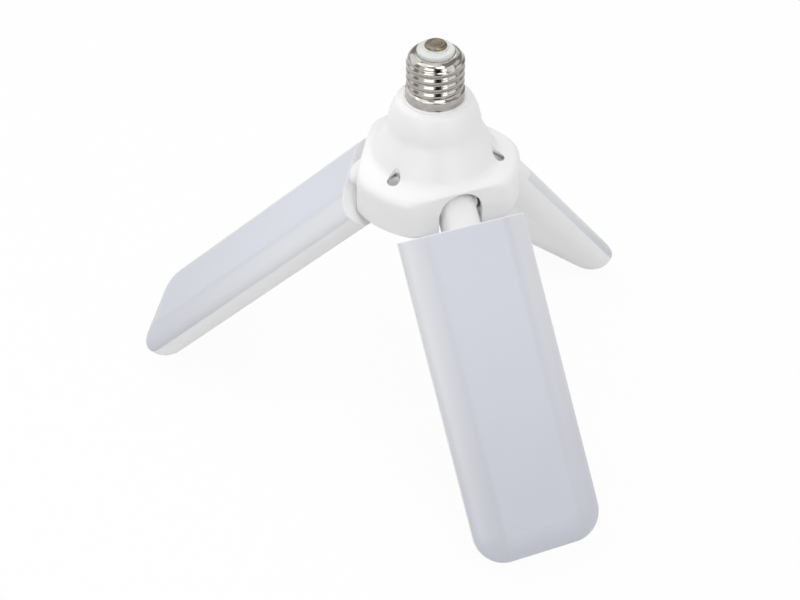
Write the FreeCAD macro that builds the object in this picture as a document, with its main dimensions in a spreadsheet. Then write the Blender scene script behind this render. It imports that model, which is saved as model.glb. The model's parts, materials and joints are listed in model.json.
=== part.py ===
import FreeCAD, Part
import math
import os
import Sketcher

# Folding lamp: a screw cap and a hub that carries three hinged LED leaves.
# Millimetres, +Z up along the cap's axis, origin on the tip of the centre contact.
# The front leaf points to -Y. Each leaf is drawn flat in its own frame, with X along the hinge axis,
# Y out along the leaf and Z out of the diffuser, and is then turned into its place on the hub.

doc = FreeCAD.newDocument("folding_leaf_lamp")

# ---------------------------------------------------------------- driving dimensions

DIMENSIONS = {
    # screw cap: standard 26 mm thread
    "cap_height": 27.0,
    "contact_flat_radius": 3.2,
    "contact_radius": 4.9,
    "contact_thickness": 1.6,
    "contact_edge": 0.6,
    "contact_round": 2.2,
    "stem_radius": 1.2,
    "stem_end": 8.6,
    "insulator_top_radius": 5.4,
    "insulator_step_radius": 6.1,
    "insulator_step_drop": 3.3,
    "insulator_ledge": 0.6,
    "shell_mouth_radius": 8.4,
    "shell_mouth_drop": 5.5,
    "shell_shoulder": 2.4,
    "shell_shoulder_round": 3.2,
    "insulator_bottom": 7.6,
    "shell_wall": 0.45,
    "thread_root_radius": 12.2,
    "thread_crest_height": 0.92,
    "thread_pitch": 3.63,
    "thread_turns": 3.0,
    "thread_width": 2.9,
    "thread_tip_width": 0.9,
    "skirt_radius": 13.35,
    "skirt_height": 4.4,
    "skirt_flare": 0.8,
    "skirt_clearance": 0.1,
    # hub: neck, dome, sloping skirt, shelf and flange, each drop counted from the cap's rim
    "wall": 2.2,
    "collar_radius": 14.4,
    "collar_height": 0.8,
    "neck_top_radius": 15.3,
    "neck_radius": 17.6,
    "neck_drop": 2.2,
    "neck_round": 2.6,
    "dome_radius": 21.0,
    "dome_drop": 12.7,
    "dome_round": 31.8,
    "slope_top_radius": 22.2,
    "slope_top_drop": 16.4,
    "slope_top_round": 15.5,
    "slope_foot_radius": 27.4,
    "slope_foot_drop": 27.6,
    "shelf_inner_radius": 31.2,
    "shelf_inner_drop": 30.4,
    "shelf_round": 5.0,
    "flange_lip": 3.6,
    "shelf_outer_drop": 31.1,
    "flange_radius": 39.2,
    "flange_lip_drop": 3.8,
    "flange_round": 4.0,
    "hub_drop": 50.9,
    "flat_distance": 32.1,
    "flat_round": 2.2,
    "bottom_round": 1.5,
    "spigot_wall": 1.7,
    "spigot_height": 3.6,
    # hinge: one per leaf, its axis level and square to the leaf
    "hinge_radius": 24.5,
    "hinge_drop": 41.25,
    "slot_width": 20.7,
    "slot_centre_drop": 42.3,
    "seat_clearance": 0.25,
    "knuckle_radius": 9.0,
    "knuckle_flat": 7.2,
    "trunnion_radius": 3.0,
    "trunnion_clearance": 0.05,
    "trunnion_collar_radius": 4.8,
    "ring_radius": 4.6,
    "ring_thickness": 1.5,
    "seat_thickness": 3.0,
    "seat_half_depth": 5.0,
    "seat_drop": 33.0,
    "lead_slot_half_width": 3.4,
    "lead_slot_half_height": 2.2,
    # hub closure
    "well_radius": 3.0,
    "well_circle_radius": 29.0,
    "well_wall": 1.6,
    "well_floor_drop": 40.0,
    "well_floor": 2.0,
    "screw_radius": 1.25,
    "screw_clearance": 0.2,
    "screw_head_radius": 2.4,
    "screw_head_height": 1.7,
    "screw_length": 8.6,
    "cover_thickness": 2.0,
    "cover_recess": 0.7,
    "cover_clearance": 0.2,
    "cover_boss_radius": 3.6,
    # driver board, hung on two posts inside the dome
    "board_radius": 22.6,
    "board_thickness": 1.6,
    "board_drop": 28.4,
    "post_radius": 2.6,
    "post_circle_radius": 17.0,
    "lead_radius": 0.65,
    "lead_half_pitch": 0.95,
    "lead_bend": 3.0,
    "lead_start_radius": 8.5,
    "pivot_gap": 1.0,
    "neutral_radius": 10.0,
    "neutral_bend": 1.2,
    "neutral_rise": 3.6,
    "solder_gap": 0.05,
    "capacitor_radius": 5.0,
    "capacitor_height": 14.0,
    "choke_radius": 4.5,
    "choke_height": 9.0,
    "choke_flange": 1.0,
    "rectifier_length": 6.5,
    "rectifier_width": 5.0,
    "rectifier_height": 2.5,
    "chip_length": 5.0,
    "chip_width": 4.0,
    "chip_height": 1.6,
    "varistor_width": 7.0,
    "varistor_thickness": 3.4,
    "varistor_height": 7.5,
    "fuse_radius": 1.6,
    "fuse_height": 9.0,
    # leaf
    "leaf_root": 12.1,
    "leaf_length": 148.9,
    "leaf_half_width": 30.3,
    "tip_round": 14.3,
    "end_wall": 1.8,
    "joint_gap": 0.06,
    "lip_width": 1.0,
    "trough_depth": 11.7,
    "trough_shoulder": 13.4,
    "trough_wall": 1.8,
    "board_ledge": 1.3,
    "diffuser_rim": 1.0,
    "diffuser_height": 7.75,
    "diffuser_shoulder": 12.9,
    "diffuser_wall": 1.5,
    "led_board_thickness": 1.0,
    "led_board_clearance": 0.25,
    "led_width": 3.5,
    "led_depth": 2.8,
    "led_height": 0.7,
    "led_pitch": 11.2,
    "led_column_pitch": 20.0,
    "led_rows": 12,
    "led_start": 14.0,
    "led_screw_radius": 1.2,
    "led_screw_head_radius": 2.1,
    "led_screw_head_height": 0.9,
    "led_screw_length": 6.0,
    "led_screw_side": 10.0,
    "led_screw_inset": 24.0,
    "standoff_radius": 2.8,
    "leaf_lead_end": 24.0,
    # pose of the leaves in the photo: angle below the horizontal
    "front_tilt": 46.87,
    "left_tilt": 43.74,
    "right_tilt": 50.09,
}

LEAVES = {"front": 0.0, "left": -120.0, "right": 120.0}

sheet = doc.addObject("Spreadsheet::Sheet", "Sizes")
for row, (alias, number) in enumerate(DIMENSIONS.items(), start=1):
    sheet.set(f"A{row}", alias)
    sheet.set(f"B{row}", str(number))
    sheet.setAlias(f"B{row}", alias)
doc.recompute()


class Size:
    """A length that carries its number and its spreadsheet formula together."""

    def __init__(self, value, formula):
        self.value = value
        self.formula = formula

    def __add__(self, other):
        other = as_size(other)
        return Size(self.value + other.value, f"({self.formula} + {other.formula})")

    def __sub__(self, other):
        other = as_size(other)
        return Size(self.value - other.value, f"({self.formula} - {other.formula})")

    def __mul__(self, other):
        other = as_size(other)
        return Size(self.value * other.value, f"({self.formula} * {other.formula})")

    def __truediv__(self, other):
        other = as_size(other)
        return Size(self.value / other.value, f"({self.formula} / {other.formula})")

    def __radd__(self, other):
        return as_size(other) + self

    def __rsub__(self, other):
        return as_size(other) - self

    def __rmul__(self, other):
        return as_size(other) * self

    def __neg__(self):
        return as_size(0.0) - self


def as_size(number):
    if isinstance(number, Size):
        return number
    return Size(float(number), f"({float(number):.6f})")


class Sizes:
    """Reads the sheet's cells by their alias."""

    def __getattr__(self, alias):
        return Size(float(sheet.get(alias)), f"Sizes.{alias}")


s = Sizes()
rim = -s.cap_height

# ---------------------------------------------------------------- drawing helpers

PLANES = {"XY": "XY_Plane", "XZ": "XZ_Plane", "YZ": "YZ_Plane"}


def new_body(label):
    body = doc.addObject("PartDesign::Body", label)
    body.Label = label
    return body


def origin_item(body, role):
    return next(item for item in body.Origin.OriginFeatures if item.Role == role)


def bind(target, prop, size):
    """Sets a property to a size and ties it to the sheet."""
    size = as_size(size)
    target.setExpression(prop, size.formula)


def new_sketch(body, name, plane, lift=None):
    """A sketch on one of the body's own planes, moved along the plane's normal by lift."""
    sketch = body.newObject("Sketcher::SketchObject", name)
    sketch.AttachmentSupport = [(origin_item(body, PLANES[plane]), "")]
    sketch.MapMode = "FlatFace"
    if lift is not None:
        lift = as_size(lift)
        sketch.AttachmentOffset = FreeCAD.Placement(FreeCAD.Vector(0, 0, lift.value), FreeCAD.Rotation())
        bind(sketch, "AttachmentOffset.Base.z", lift)
    return sketch


def pin_point(sketch, geometry, end, point):
    """Ties one end of a sketch line or arc to its two named coordinates."""
    for kind, size in zip(("DistanceX", "DistanceY"), point):
        size = as_size(size)
        index = sketch.addConstraint(Sketcher.Constraint(kind, -1, 1, geometry, end, size.value))
        bind(sketch, f"Constraints[{index}]", size)


def draw(sketch, path):
    """Draws a closed path. Each entry is (x, y) for a line's start or (x, y, radius) for an arc's start;
    a positive radius bows the arc to the right of its way, a negative one to the left."""
    points = [(as_size(entry[0]), as_size(entry[1])) for entry in path]
    for index, entry in enumerate(path):
        start, end = points[index], points[(index + 1) % len(path)]
        first = FreeCAD.Vector(start[0].value, start[1].value, 0)
        last = FreeCAD.Vector(end[0].value, end[1].value, 0)
        if len(entry) == 2:
            sketch.addGeometry(Part.LineSegment(first, last))
            pin_point(sketch, index, 1, start)
        else:
            add_arc(sketch, index, start, end, as_size(entry[2]))
    for index in range(len(path)):
        following = (index + 1) % len(path)
        sketch.addConstraint(Sketcher.Constraint("Coincident", index, end_of(sketch, index, path, False),
                                                 following, end_of(sketch, following, path, True)))


def end_of(sketch, index, path, at_start):
    """The sketcher numbers an arc's ends counter-clockwise, so a clockwise arc starts at its end 2."""
    entry = path[index]
    clockwise = len(entry) == 3 and as_size(entry[2]).value < 0
    if at_start:
        return 2 if clockwise else 1
    return 1 if clockwise else 2


def add_arc(sketch, index, start, end, radius):
    x0, y0, x1, y1 = start[0].value, start[1].value, end[0].value, end[1].value
    half = math.hypot(x1 - x0, y1 - y0) / 2
    size = abs(radius.value)
    away = math.sqrt(max(size * size - half * half, 0.0))
    turn = 1 if radius.value > 0 else -1
    cx = (x0 + x1) / 2 - turn * (y1 - y0) / (2 * half) * away
    cy = (y0 + y1) / 2 + turn * (x1 - x0) / (2 * half) * away
    angle_start = math.atan2(y0 - cy, x0 - cx)
    angle_end = math.atan2(y1 - cy, x1 - cx)
    if turn < 0:
        angle_start, angle_end = angle_end, angle_start
    circle = Part.Circle(FreeCAD.Vector(cx, cy, 0), FreeCAD.Vector(0, 0, 1), size)
    sketch.addGeometry(Part.ArcOfCircle(circle, angle_start, angle_end))
    pin_point(sketch, index, 1 if turn > 0 else 2, start)
    constraint = sketch.addConstraint(Sketcher.Constraint("Radius", index, size))
    bind(sketch, f"Constraints[{constraint}]", radius if turn > 0 else -radius)


def draw_circle(sketch, x, y, radius):
    x, y, radius = as_size(x), as_size(y), as_size(radius)
    centre = FreeCAD.Vector(x.value, y.value, 0)
    index = sketch.addGeometry(Part.Circle(centre, FreeCAD.Vector(0, 0, 1), radius.value))
    pin_point(sketch, index, 3, (x, y))
    constraint = sketch.addConstraint(Sketcher.Constraint("Radius", index, radius.value))
    bind(sketch, f"Constraints[{constraint}]", radius)


def rectangle(x0, y0, x1, y1):
    return [(x0, y0), (x1, y0), (x1, y1), (x0, y1)]


def revolve(body, name, path, plane="XZ"):
    """Turns a path of (radius, height) about the plane's upright axis: Z on XZ, Y on XY."""
    sketch = new_sketch(body, f"{name}_outline", plane)
    draw(sketch, path)
    feature = body.newObject("PartDesign::Revolution", name)
    feature.Profile = sketch
    feature.ReferenceAxis = (sketch, ["V_Axis"])
    feature.Angle = 360.0
    return settle(body, feature)


def settle(body, feature):
    body.Tip = feature
    doc.recompute()
    return feature


def pad(body, name, sketch, length, reverse=False, both=False):
    feature = body.newObject("PartDesign::Pad", name)
    feature.Profile = sketch
    feature.Reversed = reverse
    feature.SideType = "Symmetric" if both else "One side"
    bind(feature, "Length", length)
    return settle(body, feature)


def pocket(body, name, sketch, length, reverse=False, both=False):
    """Cuts a sketch away along its normal, or against it with reverse, and makes sure that it cut."""
    before = body.Shape.Volume
    feature = body.newObject("PartDesign::Pocket", name)
    feature.Profile = sketch
    feature.Reversed = reverse
    feature.SideType = "Symmetric" if both else "One side"
    bind(feature, "Length", length)
    settle(body, feature)
    if not feature.Shape.Volume < before - 1e-6:
        raise RuntimeError(f"{body.Label}: {name} removes nothing")
    return feature


def around(body, name, features, count=3):
    """Repeats features about Z."""
    feature = body.newObject("PartDesign::PolarPattern", name)
    feature.Originals = features
    feature.Axis = (origin_item(body, "Z_Axis"), [""])
    feature.Angle = 360.0
    feature.Occurrences = count
    return settle(body, feature)


def round_edges(body, name, radius, test):
    """Fillets the edges of the body so far that pass the test."""
    base = body.Tip
    chosen = [f"Edge{number}" for number, edge in enumerate(base.Shape.Edges, start=1) if test(edge)]
    feature = body.newObject("PartDesign::Fillet", name)
    feature.Base = (base, chosen)
    bind(feature, "Radius", radius)
    return settle(body, feature)


def loft(body, name, sections, cut=False):
    """A smooth loft through closed outlines, each given as (path, height)."""
    sketches = []
    for number, (path, height) in enumerate(sections):
        sketch = new_sketch(body, f"{name}_section{number}", "XY", height)
        draw(sketch, path)
        sketches.append(sketch)
    doc.recompute()
    kind = "PartDesign::SubtractiveLoft" if cut else "PartDesign::AdditiveLoft"
    feature = body.newObject(kind, name)
    feature.Profile = sketches[0]
    feature.Sections = sketches[1:]
    feature.Ruled = False
    return settle(body, feature)


parts = {}


def keep(label, item):
    item.Label = label
    parts[label] = item
    return item


def put(item, x, y, z):
    """Places a primitive by its own reference point."""
    for axis, size in zip("xyz", (x, y, z)):
        bind(item, f"Placement.Base.{axis}", size)
    return item


def cylinder(name, radius, height, x=0, y=0, z=0):
    item = doc.addObject("Part::Cylinder", name)
    bind(item, "Radius", radius)
    bind(item, "Height", height)
    return put(item, x, y, z)


def block(name, length, width, height, x=0, y=0, z=0):
    """A box centred on x and y, standing on z."""
    item = doc.addObject("Part::Box", name)
    bind(item, "Length", length)
    bind(item, "Width", width)
    bind(item, "Height", height)
    return put(item, x - as_size(length) / 2, y - as_size(width) / 2, z)


def fuse(name, items):
    item = doc.addObject("Part::MultiFuse", name)
    item.Shapes = items
    return item


def group(name, items):
    item = doc.addObject("Part::Compound", name)
    item.Links = items
    return item


# ---------------------------------------------------------------- screw cap

def make_centre_contact():
    """Domed button with a small flat, on a stem through the insulator."""
    body = new_body("centre_contact")
    revolve(body, "button", [
        (0, 0),
        (s.contact_flat_radius, 0, -s.contact_round),
        (s.contact_radius, -s.contact_thickness + s.contact_edge),
        (s.contact_radius, -s.contact_thickness),
        (s.stem_radius, -s.contact_thickness),
        (s.stem_radius, -s.stem_end),
        (0, -s.stem_end),
    ])
    keep("centre_contact", body)


def make_cap_insulator():
    """Two-step white cone that fills the shell's mouth."""
    body = new_body("cap_insulator")
    revolve(body, "cone", [
        (s.stem_radius, -s.contact_thickness),
        (s.insulator_top_radius, -s.contact_thickness),
        (s.insulator_step_radius, -s.insulator_step_drop),
        (s.insulator_step_radius + s.insulator_ledge, -s.insulator_step_drop),
        (s.shell_mouth_radius, -s.shell_mouth_drop),
        (s.shell_mouth_radius, -s.insulator_bottom),
        (s.stem_radius, -s.insulator_bottom),
    ])
    keep("cap_insulator", body)


def make_cap_shell():
    """Thin shell: rolled mouth, threaded barrel, flared skirt."""
    body = new_body("cap_shell")
    barrel_top = -s.shell_mouth_drop - s.shell_shoulder
    flare_foot = rim + s.skirt_height
    flare_top = flare_foot + s.skirt_flare
    inner_barrel = s.thread_root_radius - s.shell_wall
    inner_skirt = s.skirt_radius - s.shell_wall
    revolve(body, "barrel", [
        (s.shell_mouth_radius, -s.shell_mouth_drop, -s.shell_shoulder_round),
        (s.thread_root_radius, barrel_top),
        (s.thread_root_radius, flare_top),
        (s.skirt_radius, flare_foot),
        (s.skirt_radius, rim),
        (inner_skirt, rim),
        (inner_skirt, flare_foot - s.shell_wall),
        (inner_barrel, flare_top - s.shell_wall),
        (inner_barrel, barrel_top, s.shell_shoulder_round - s.shell_wall),
        (s.shell_mouth_radius, -s.shell_mouth_drop - s.shell_wall),
    ])
    thread = new_sketch(body, "thread_section", "XZ")
    first = flare_top + s.thread_width / 2
    sunk = s.thread_root_radius - s.shell_wall / 2
    crest = s.thread_root_radius + s.thread_crest_height
    draw(thread, [
        (sunk, first - s.thread_width / 2),
        (s.thread_root_radius, first - s.thread_width / 2),
        (crest, first - s.thread_tip_width / 2),
        (crest, first + s.thread_tip_width / 2),
        (s.thread_root_radius, first + s.thread_width / 2),
        (sunk, first + s.thread_width / 2),
    ])
    helix = body.newObject("PartDesign::AdditiveHelix", "thread")
    helix.Profile = thread
    helix.ReferenceAxis = (thread, ["V_Axis"])
    helix.Mode = "pitch-turns-angle"
    bind(helix, "Pitch", s.thread_pitch)
    bind(helix, "Turns", s.thread_turns)
    settle(body, helix)
    keep("cap_shell", body)


# ---------------------------------------------------------------- hub

def hub_outline(inset):
    """The hub's half section from the neck down to the flange, moved in from the outside by inset."""
    return [
        (s.neck_top_radius - inset * 0.3, rim - s.collar_height - inset, -(s.neck_round - inset * 0.3)),
        (s.neck_radius - inset * 0.88, rim - s.neck_drop - inset * 0.47, -(s.dome_round - inset)),
        (s.dome_radius - inset, rim - s.dome_drop - inset * 0.17, s.slope_top_round + inset),
        (s.slope_top_radius - inset * 0.9, rim - s.slope_top_drop - inset * 0.42),
        (s.slope_foot_radius - inset * 0.9, rim - s.slope_foot_drop - inset * 0.42, s.shelf_round + inset),
        (s.shelf_inner_radius - inset * 0.14, rim - s.shelf_inner_drop - inset),
        (s.flange_radius - s.flange_lip - inset * 0.14, rim - s.shelf_outer_drop - inset, -(s.flange_round - inset * 0.6)),
        (s.flange_radius - inset, rim - s.shelf_outer_drop - s.flange_lip_drop - inset * 0.3),
    ]


def cut_flats(body, distance):
    """Cuts the three flats that face the leaves."""
    reach = s.flange_radius + 1.0
    sketch = new_sketch(body, "flat_outline", "XY", rim)
    draw(sketch, rectangle(-reach, -reach - 1.0, reach, -distance))
    flat = pocket(body, "flat", sketch, s.hub_drop * 3.0, both=True)
    return around(body, "flats", [flat])


def corner_spot(radius):
    """The place between the front leaf and the next one; a pattern repeats it."""
    return radius * math.sin(math.radians(60)), -(radius * math.cos(math.radians(60)))


def post_spot(radius):
    """The first of the two places where the driver board hangs."""
    return radius * math.sin(math.radians(30)), -(radius * math.cos(math.radians(30)))


seat_inner = s.slot_width / 2 + s.seat_clearance
hinge_height = rim - s.hinge_drop
well_foot = rim - s.well_floor_drop - s.well_floor
cover_top = rim - s.hub_drop + s.cover_recess + s.cover_thickness
board_top = rim - s.board_drop
board_bottom = board_top - s.board_thickness


def seat_notch():
    """The half-round notch of a hinge seat, over the hinge axis, walked outwards."""
    bore = s.trunnion_radius + s.trunnion_clearance
    return [
        (-s.hinge_radius + bore, hinge_height, bore),
        (-s.hinge_radius, hinge_height + bore, bore),
        (-s.hinge_radius - bore, hinge_height),
    ]


def seat_notch_below():
    """The same notch under the hinge axis, walked inwards."""
    bore = s.trunnion_radius + s.trunnion_clearance
    return [
        (-s.hinge_radius - bore, hinge_height, bore),
        (-s.hinge_radius, hinge_height - bore, bore),
        (-s.hinge_radius + bore, hinge_height),
    ]


def make_cavity():
    """The space inside the hub: its inner form, less the seats, wells and posts that stand in it."""
    body = new_body("hub_cavity")
    floor = rim - s.hub_drop - 1.0
    revolve(body, "inner_form", [(0, rim - s.collar_height - s.wall)] + hub_outline(s.wall) + [
        (s.flange_radius - s.wall, floor),
        (0, floor),
    ])
    cut_flats(body, s.flat_distance - s.wall)

    wells = new_sketch(body, "well_tube_outline", "XY", well_foot)
    draw_circle(wells, *corner_spot(s.well_circle_radius), s.well_radius + s.well_wall)
    tube = pocket(body, "well_tube", wells, s.well_floor_drop, reverse=True)
    around(body, "well_tubes", [tube])

    posts = new_sketch(body, "post_outline", "XY", board_top)
    draw_circle(posts, *post_spot(s.post_circle_radius), s.post_radius)
    post = pocket(body, "post", posts, s.board_drop, reverse=True)
    around(body, "posts", [post], 2)

    inner = -s.hinge_radius + s.seat_half_depth
    outer = -s.flat_distance + s.wall / 2
    ribs = []
    for side in (1, -1):
        start = seat_inner if side > 0 else -seat_inner - s.seat_thickness
        seat = new_sketch(body, f"seat_outline_{side}", "YZ", start)
        draw(seat, [(inner, hinge_height)] + seat_notch() + [
            (outer, hinge_height),
            (outer, rim - s.seat_drop + 3.0),
            (-s.hinge_radius - 1.0, rim - s.seat_drop + 3.0),
            (inner, rim - s.seat_drop - 3.5),
        ])
        ribs.append(pocket(body, f"seat_{side}", seat, s.seat_thickness, reverse=True))
    around(body, "seats", ribs)
    return body


def make_upper_housing():
    """Neck, dome and flange in one moulding, hollow, with three arched slots and three deep screw wells."""
    body = new_body("upper_housing")
    spigot = s.skirt_radius - s.shell_wall - s.skirt_clearance
    revolve(body, "outer_form", [
        (0, rim + s.spigot_height),
        (spigot, rim + s.spigot_height),
        (spigot, rim),
        (s.collar_radius, rim),
        (s.collar_radius, rim - s.collar_height),
    ] + hub_outline(as_size(0.0)) + [
        (s.flange_radius, rim - s.hub_drop),
        (0, rim - s.hub_drop),
    ])
    cut_flats(body, s.flat_distance)
    foot = (rim - s.hub_drop).value

    def at_foot(edge):
        return all(abs(corner.Z - foot) < 1e-4 for corner in edge.Vertexes)

    def on_flat(edge):
        """An edge of one of the flats, other than its foot."""
        return not at_foot(edge) and any(
            all(abs(corner.X * math.sin(turn) - corner.Y * math.cos(turn) - s.flat_distance.value) < 1e-3
                for corner in edge.Vertexes)
            for turn in map(math.radians, (0, 120, 240)))

    round_edges(body, "flat_rounds", s.flat_round, on_flat)
    round_edges(body, "foot_rounds", s.bottom_round, at_foot)

    cavity = make_cavity()
    hollow = body.newObject("PartDesign::Boolean", "hollow")
    hollow.setObjects([cavity])
    hollow.Type = "Cut"
    settle(body, hollow)

    bore = new_sketch(body, "neck_bore_outline", "XY", rim + s.spigot_height)
    draw_circle(bore, 0, 0, spigot - s.spigot_wall)
    pocket(body, "neck_bore", bore, s.spigot_height + s.collar_height + s.wall + 1.0)

    slot = new_sketch(body, "slot_outline", "XZ", s.flat_distance - s.wall - 1.0)
    half = s.slot_width / 2
    centre = rim - s.slot_centre_drop
    draw(slot, [
        (-half, rim - s.hub_drop - 1.0),
        (-half, centre, -half),
        (0, centre + half, -half),
        (half, centre),
        (half, rim - s.hub_drop - 1.0),
    ])
    arch = pocket(body, "slot", slot, s.wall + 4.0, reverse=True)
    around(body, "slots", [arch])

    well = new_sketch(body, "well_outline", "XY", rim - s.well_floor_drop)
    draw_circle(well, *corner_spot(s.well_circle_radius), s.well_radius)
    deep = pocket(body, "well", well, s.well_floor_drop, reverse=True)
    hole = new_sketch(body, "well_hole_outline", "XY", rim - s.well_floor_drop)
    draw_circle(hole, *corner_spot(s.well_circle_radius), s.screw_radius + s.screw_clearance)
    through = pocket(body, "well_hole", hole, s.well_floor + 1.0)
    around(body, "wells", [deep, through])

    pilot = new_sketch(body, "post_bore_outline", "XY", board_top)
    draw_circle(pilot, *post_spot(s.post_circle_radius), s.screw_radius)
    bored = pocket(body, "post_bore", pilot, s.screw_length, reverse=True)
    around(body, "post_bores", [bored], 2)
    keep("upper_housing", body)


def make_lower_housing():
    """Bottom cover: plate with three U slots, the lower halves of the hinge seats and three screw bosses."""
    body = new_body("lower_housing")
    plate_radius = s.flange_radius - s.wall - s.cover_clearance
    flat = s.flat_distance - s.wall - s.cover_clearance
    plate_foot = cover_top - s.cover_thickness
    outline = new_sketch(body, "plate_outline", "XY", plate_foot)
    draw_circle(outline, 0, 0, plate_radius)
    pad(body, "plate", outline, s.cover_thickness)
    cut_flats(body, flat)

    inner = -s.hinge_radius + s.seat_half_depth
    features = []
    for side in (1, -1):
        start = seat_inner if side > 0 else -seat_inner - s.seat_thickness
        seat = new_sketch(body, f"seat_outline_{side}", "YZ", start)
        draw(seat, [(-flat, plate_foot + s.cover_thickness / 2), (-flat, hinge_height)] + seat_notch_below() + [
            (inner, hinge_height),
            (inner, plate_foot + s.cover_thickness / 2),
        ])
        features.append(pad(body, f"seat_{side}", seat, s.seat_thickness))
    boss = new_sketch(body, "boss_outline", "XY", plate_foot)
    draw_circle(boss, *corner_spot(s.well_circle_radius), s.cover_boss_radius)
    features.append(pad(body, "boss", boss, well_foot - plate_foot))
    around(body, "seats_and_bosses", features)

    half = s.slot_width / 2
    reach = s.flange_radius + 1.0
    slot = new_sketch(body, "slot_outline", "XY", plate_foot)
    draw(slot, [
        (-half, -reach),
        (half, -reach),
        (half, -s.hinge_radius, half),
        (0, -s.hinge_radius + half, half),
        (-half, -s.hinge_radius),
    ])
    notch = pocket(body, "slot", slot, s.cover_thickness * 3.0, both=True)
    bore = new_sketch(body, "boss_bore_outline", "XY", well_foot)
    draw_circle(bore, *corner_spot(s.well_circle_radius), s.screw_radius)
    bored = pocket(body, "boss_bore", bore, s.screw_length - s.well_floor + 0.5)
    around(body, "slots_and_bores", [notch, bored])
    keep("lower_housing", body)


def make_screw(name, radius, length, head_radius, head_height, x, y, z, upside_down=False):
    """A pan-headed screw with its head's seat at z."""
    shank_foot = z if upside_down else z - length
    head_foot = z - head_height if upside_down else z
    shank = cylinder(f"{name}_shank", radius, length + head_height / 2, x, y,
                     shank_foot - (head_height / 2 if upside_down else 0))
    head = cylinder(f"{name}_head", head_radius, head_height, x, y, head_foot)
    return fuse(name, [shank, head])


def turned(radius, degrees):
    """A place on a circle about Z, degrees round from the front."""
    angle = math.radians(degrees)
    return radius * math.sin(angle), -(radius * math.cos(angle))


def make_hub_screws():
    screws = []
    for degrees in (60, 180, 300):
        x, y = turned(s.well_circle_radius, degrees)
        screws.append(make_screw(f"hub_screw_{degrees}", s.screw_radius, s.screw_length,
                                 s.screw_head_radius, s.screw_head_height, x, y, rim - s.well_floor_drop))
    keep("hub_screws", group("hub_screw_group", screws))


# ---------------------------------------------------------------- driver

def make_driver_board():
    """Round board on two posts in the dome, with its two screw holes."""
    body = new_body("driver_board")
    outline = new_sketch(body, "board_outline", "XY", board_bottom)
    draw_circle(outline, 0, 0, s.board_radius)
    pad(body, "board", outline, s.board_thickness)
    hole = new_sketch(body, "hole_outline", "XY", board_top)
    draw_circle(hole, *post_spot(s.post_circle_radius), s.screw_radius + s.screw_clearance)
    cut = pocket(body, "hole", hole, s.board_thickness * 2.0)
    around(body, "holes", [cut], 2)
    keep("driver_board", body)

    screws = []
    for degrees in (30, 210):
        x, y = turned(s.post_circle_radius, degrees)
        screws.append(make_screw(f"board_screw_{degrees}", s.screw_radius, s.screw_length,
                                 s.screw_head_radius, s.led_screw_head_height, x, y, board_bottom, True))
    keep("driver_board_screws", group("driver_board_screw_group", screws))


def make_driver_parts():
    """What stands on the driver board."""
    keep("filter_capacitor", cylinder("capacitor_can", s.capacitor_radius, s.capacitor_height,
                                      s.board_radius * 0.35, s.board_radius * 0.35, board_top))
    x, y = s.board_radius * -0.38, s.board_radius * 0.22
    keep("driver_choke", fuse("choke", [
        cylinder("choke_foot", s.choke_radius, s.choke_flange, x, y, board_top),
        cylinder("choke_winding", s.choke_radius * 0.84, s.choke_height, x, y, board_top),
        cylinder("choke_top", s.choke_radius, s.choke_flange, x, y, board_top + s.choke_height),
    ]))
    keep("bridge_rectifier", block("rectifier", s.rectifier_length, s.rectifier_width, s.rectifier_height,
                                   s.board_radius * -0.4, s.board_radius * -0.35, board_top))
    keep("driver_chip", block("chip", s.chip_length, s.chip_width, s.chip_height,
                              s.board_radius * 0.22, s.board_radius * -0.22, board_top))
    keep("varistor", block("varistor_disc", s.varistor_width, s.varistor_thickness, s.varistor_height,
                           s.board_radius * -0.1, s.board_radius * -0.69, board_top))
    keep("fuse_resistor", cylinder("fuse_barrel", s.fuse_radius, s.fuse_height,
                                   s.board_radius * 0.62, s.board_radius * -0.27, board_top))


def bent_lead(name, plane, side, start, level, reach, bend):
    """A round wire that leaves start upright, bends once and runs level to reach. Places are (along, height)."""
    body = new_body(name)
    column, base = (as_size(value) for value in start)
    level, reach = as_size(level), as_size(reach)
    rise = 1.0 if level.value > base.value else -1.0
    run = 1.0 if reach.value > column.value else -1.0
    knee = (column, level - bend * rise)
    turned_out = (column + bend * run, level)
    spine = new_sketch(body, "spine", plane, side)
    first, second = FreeCAD.Vector(column.value, base.value, 0), FreeCAD.Vector(knee[0].value, knee[1].value, 0)
    third, last = FreeCAD.Vector(turned_out[0].value, level.value, 0), FreeCAD.Vector(reach.value, level.value, 0)
    spine.addGeometry(Part.LineSegment(first, second))
    pin_point(spine, 0, 1, (column, base))
    pin_point(spine, 0, 2, knee)
    add_arc(spine, 1, knee, turned_out, bend * (-rise * run))
    spine.addGeometry(Part.LineSegment(third, last))
    pin_point(spine, 2, 1, turned_out)
    pin_point(spine, 2, 2, (reach, level))
    section = new_sketch(body, "section", "XY", base)
    place = (as_size(side), column) if plane == "YZ" else (column, -as_size(side))
    draw_circle(section, *place, s.lead_radius)
    doc.recompute()
    pipe = body.newObject("PartDesign::AdditivePipe", "wire")
    pipe.Profile = section
    pipe.Spine = (spine, ["Edge1", "Edge2", "Edge3"])
    settle(body, pipe)
    return body


def make_cap_leads():
    """Line lead from the contact's stem, neutral lead from the inside of the shell, both to the board."""
    keep("line_lead", cylinder("line_wire", s.lead_radius, -s.stem_end - board_top, 0, 0, board_top))
    wall = s.thread_root_radius - s.shell_wall - s.solder_gap
    level = rim + s.skirt_height + s.neutral_rise
    keep("neutral_lead", bent_lead("neutral_wire", "XZ", 0, (s.neutral_radius, board_top), level, wall, s.neutral_bend))


# ---------------------------------------------------------------- leaf, in its own frame

leaf_tip = s.leaf_root + s.leaf_length
wall_face = s.leaf_root + s.end_wall
led_top = -s.lead_radius


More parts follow.
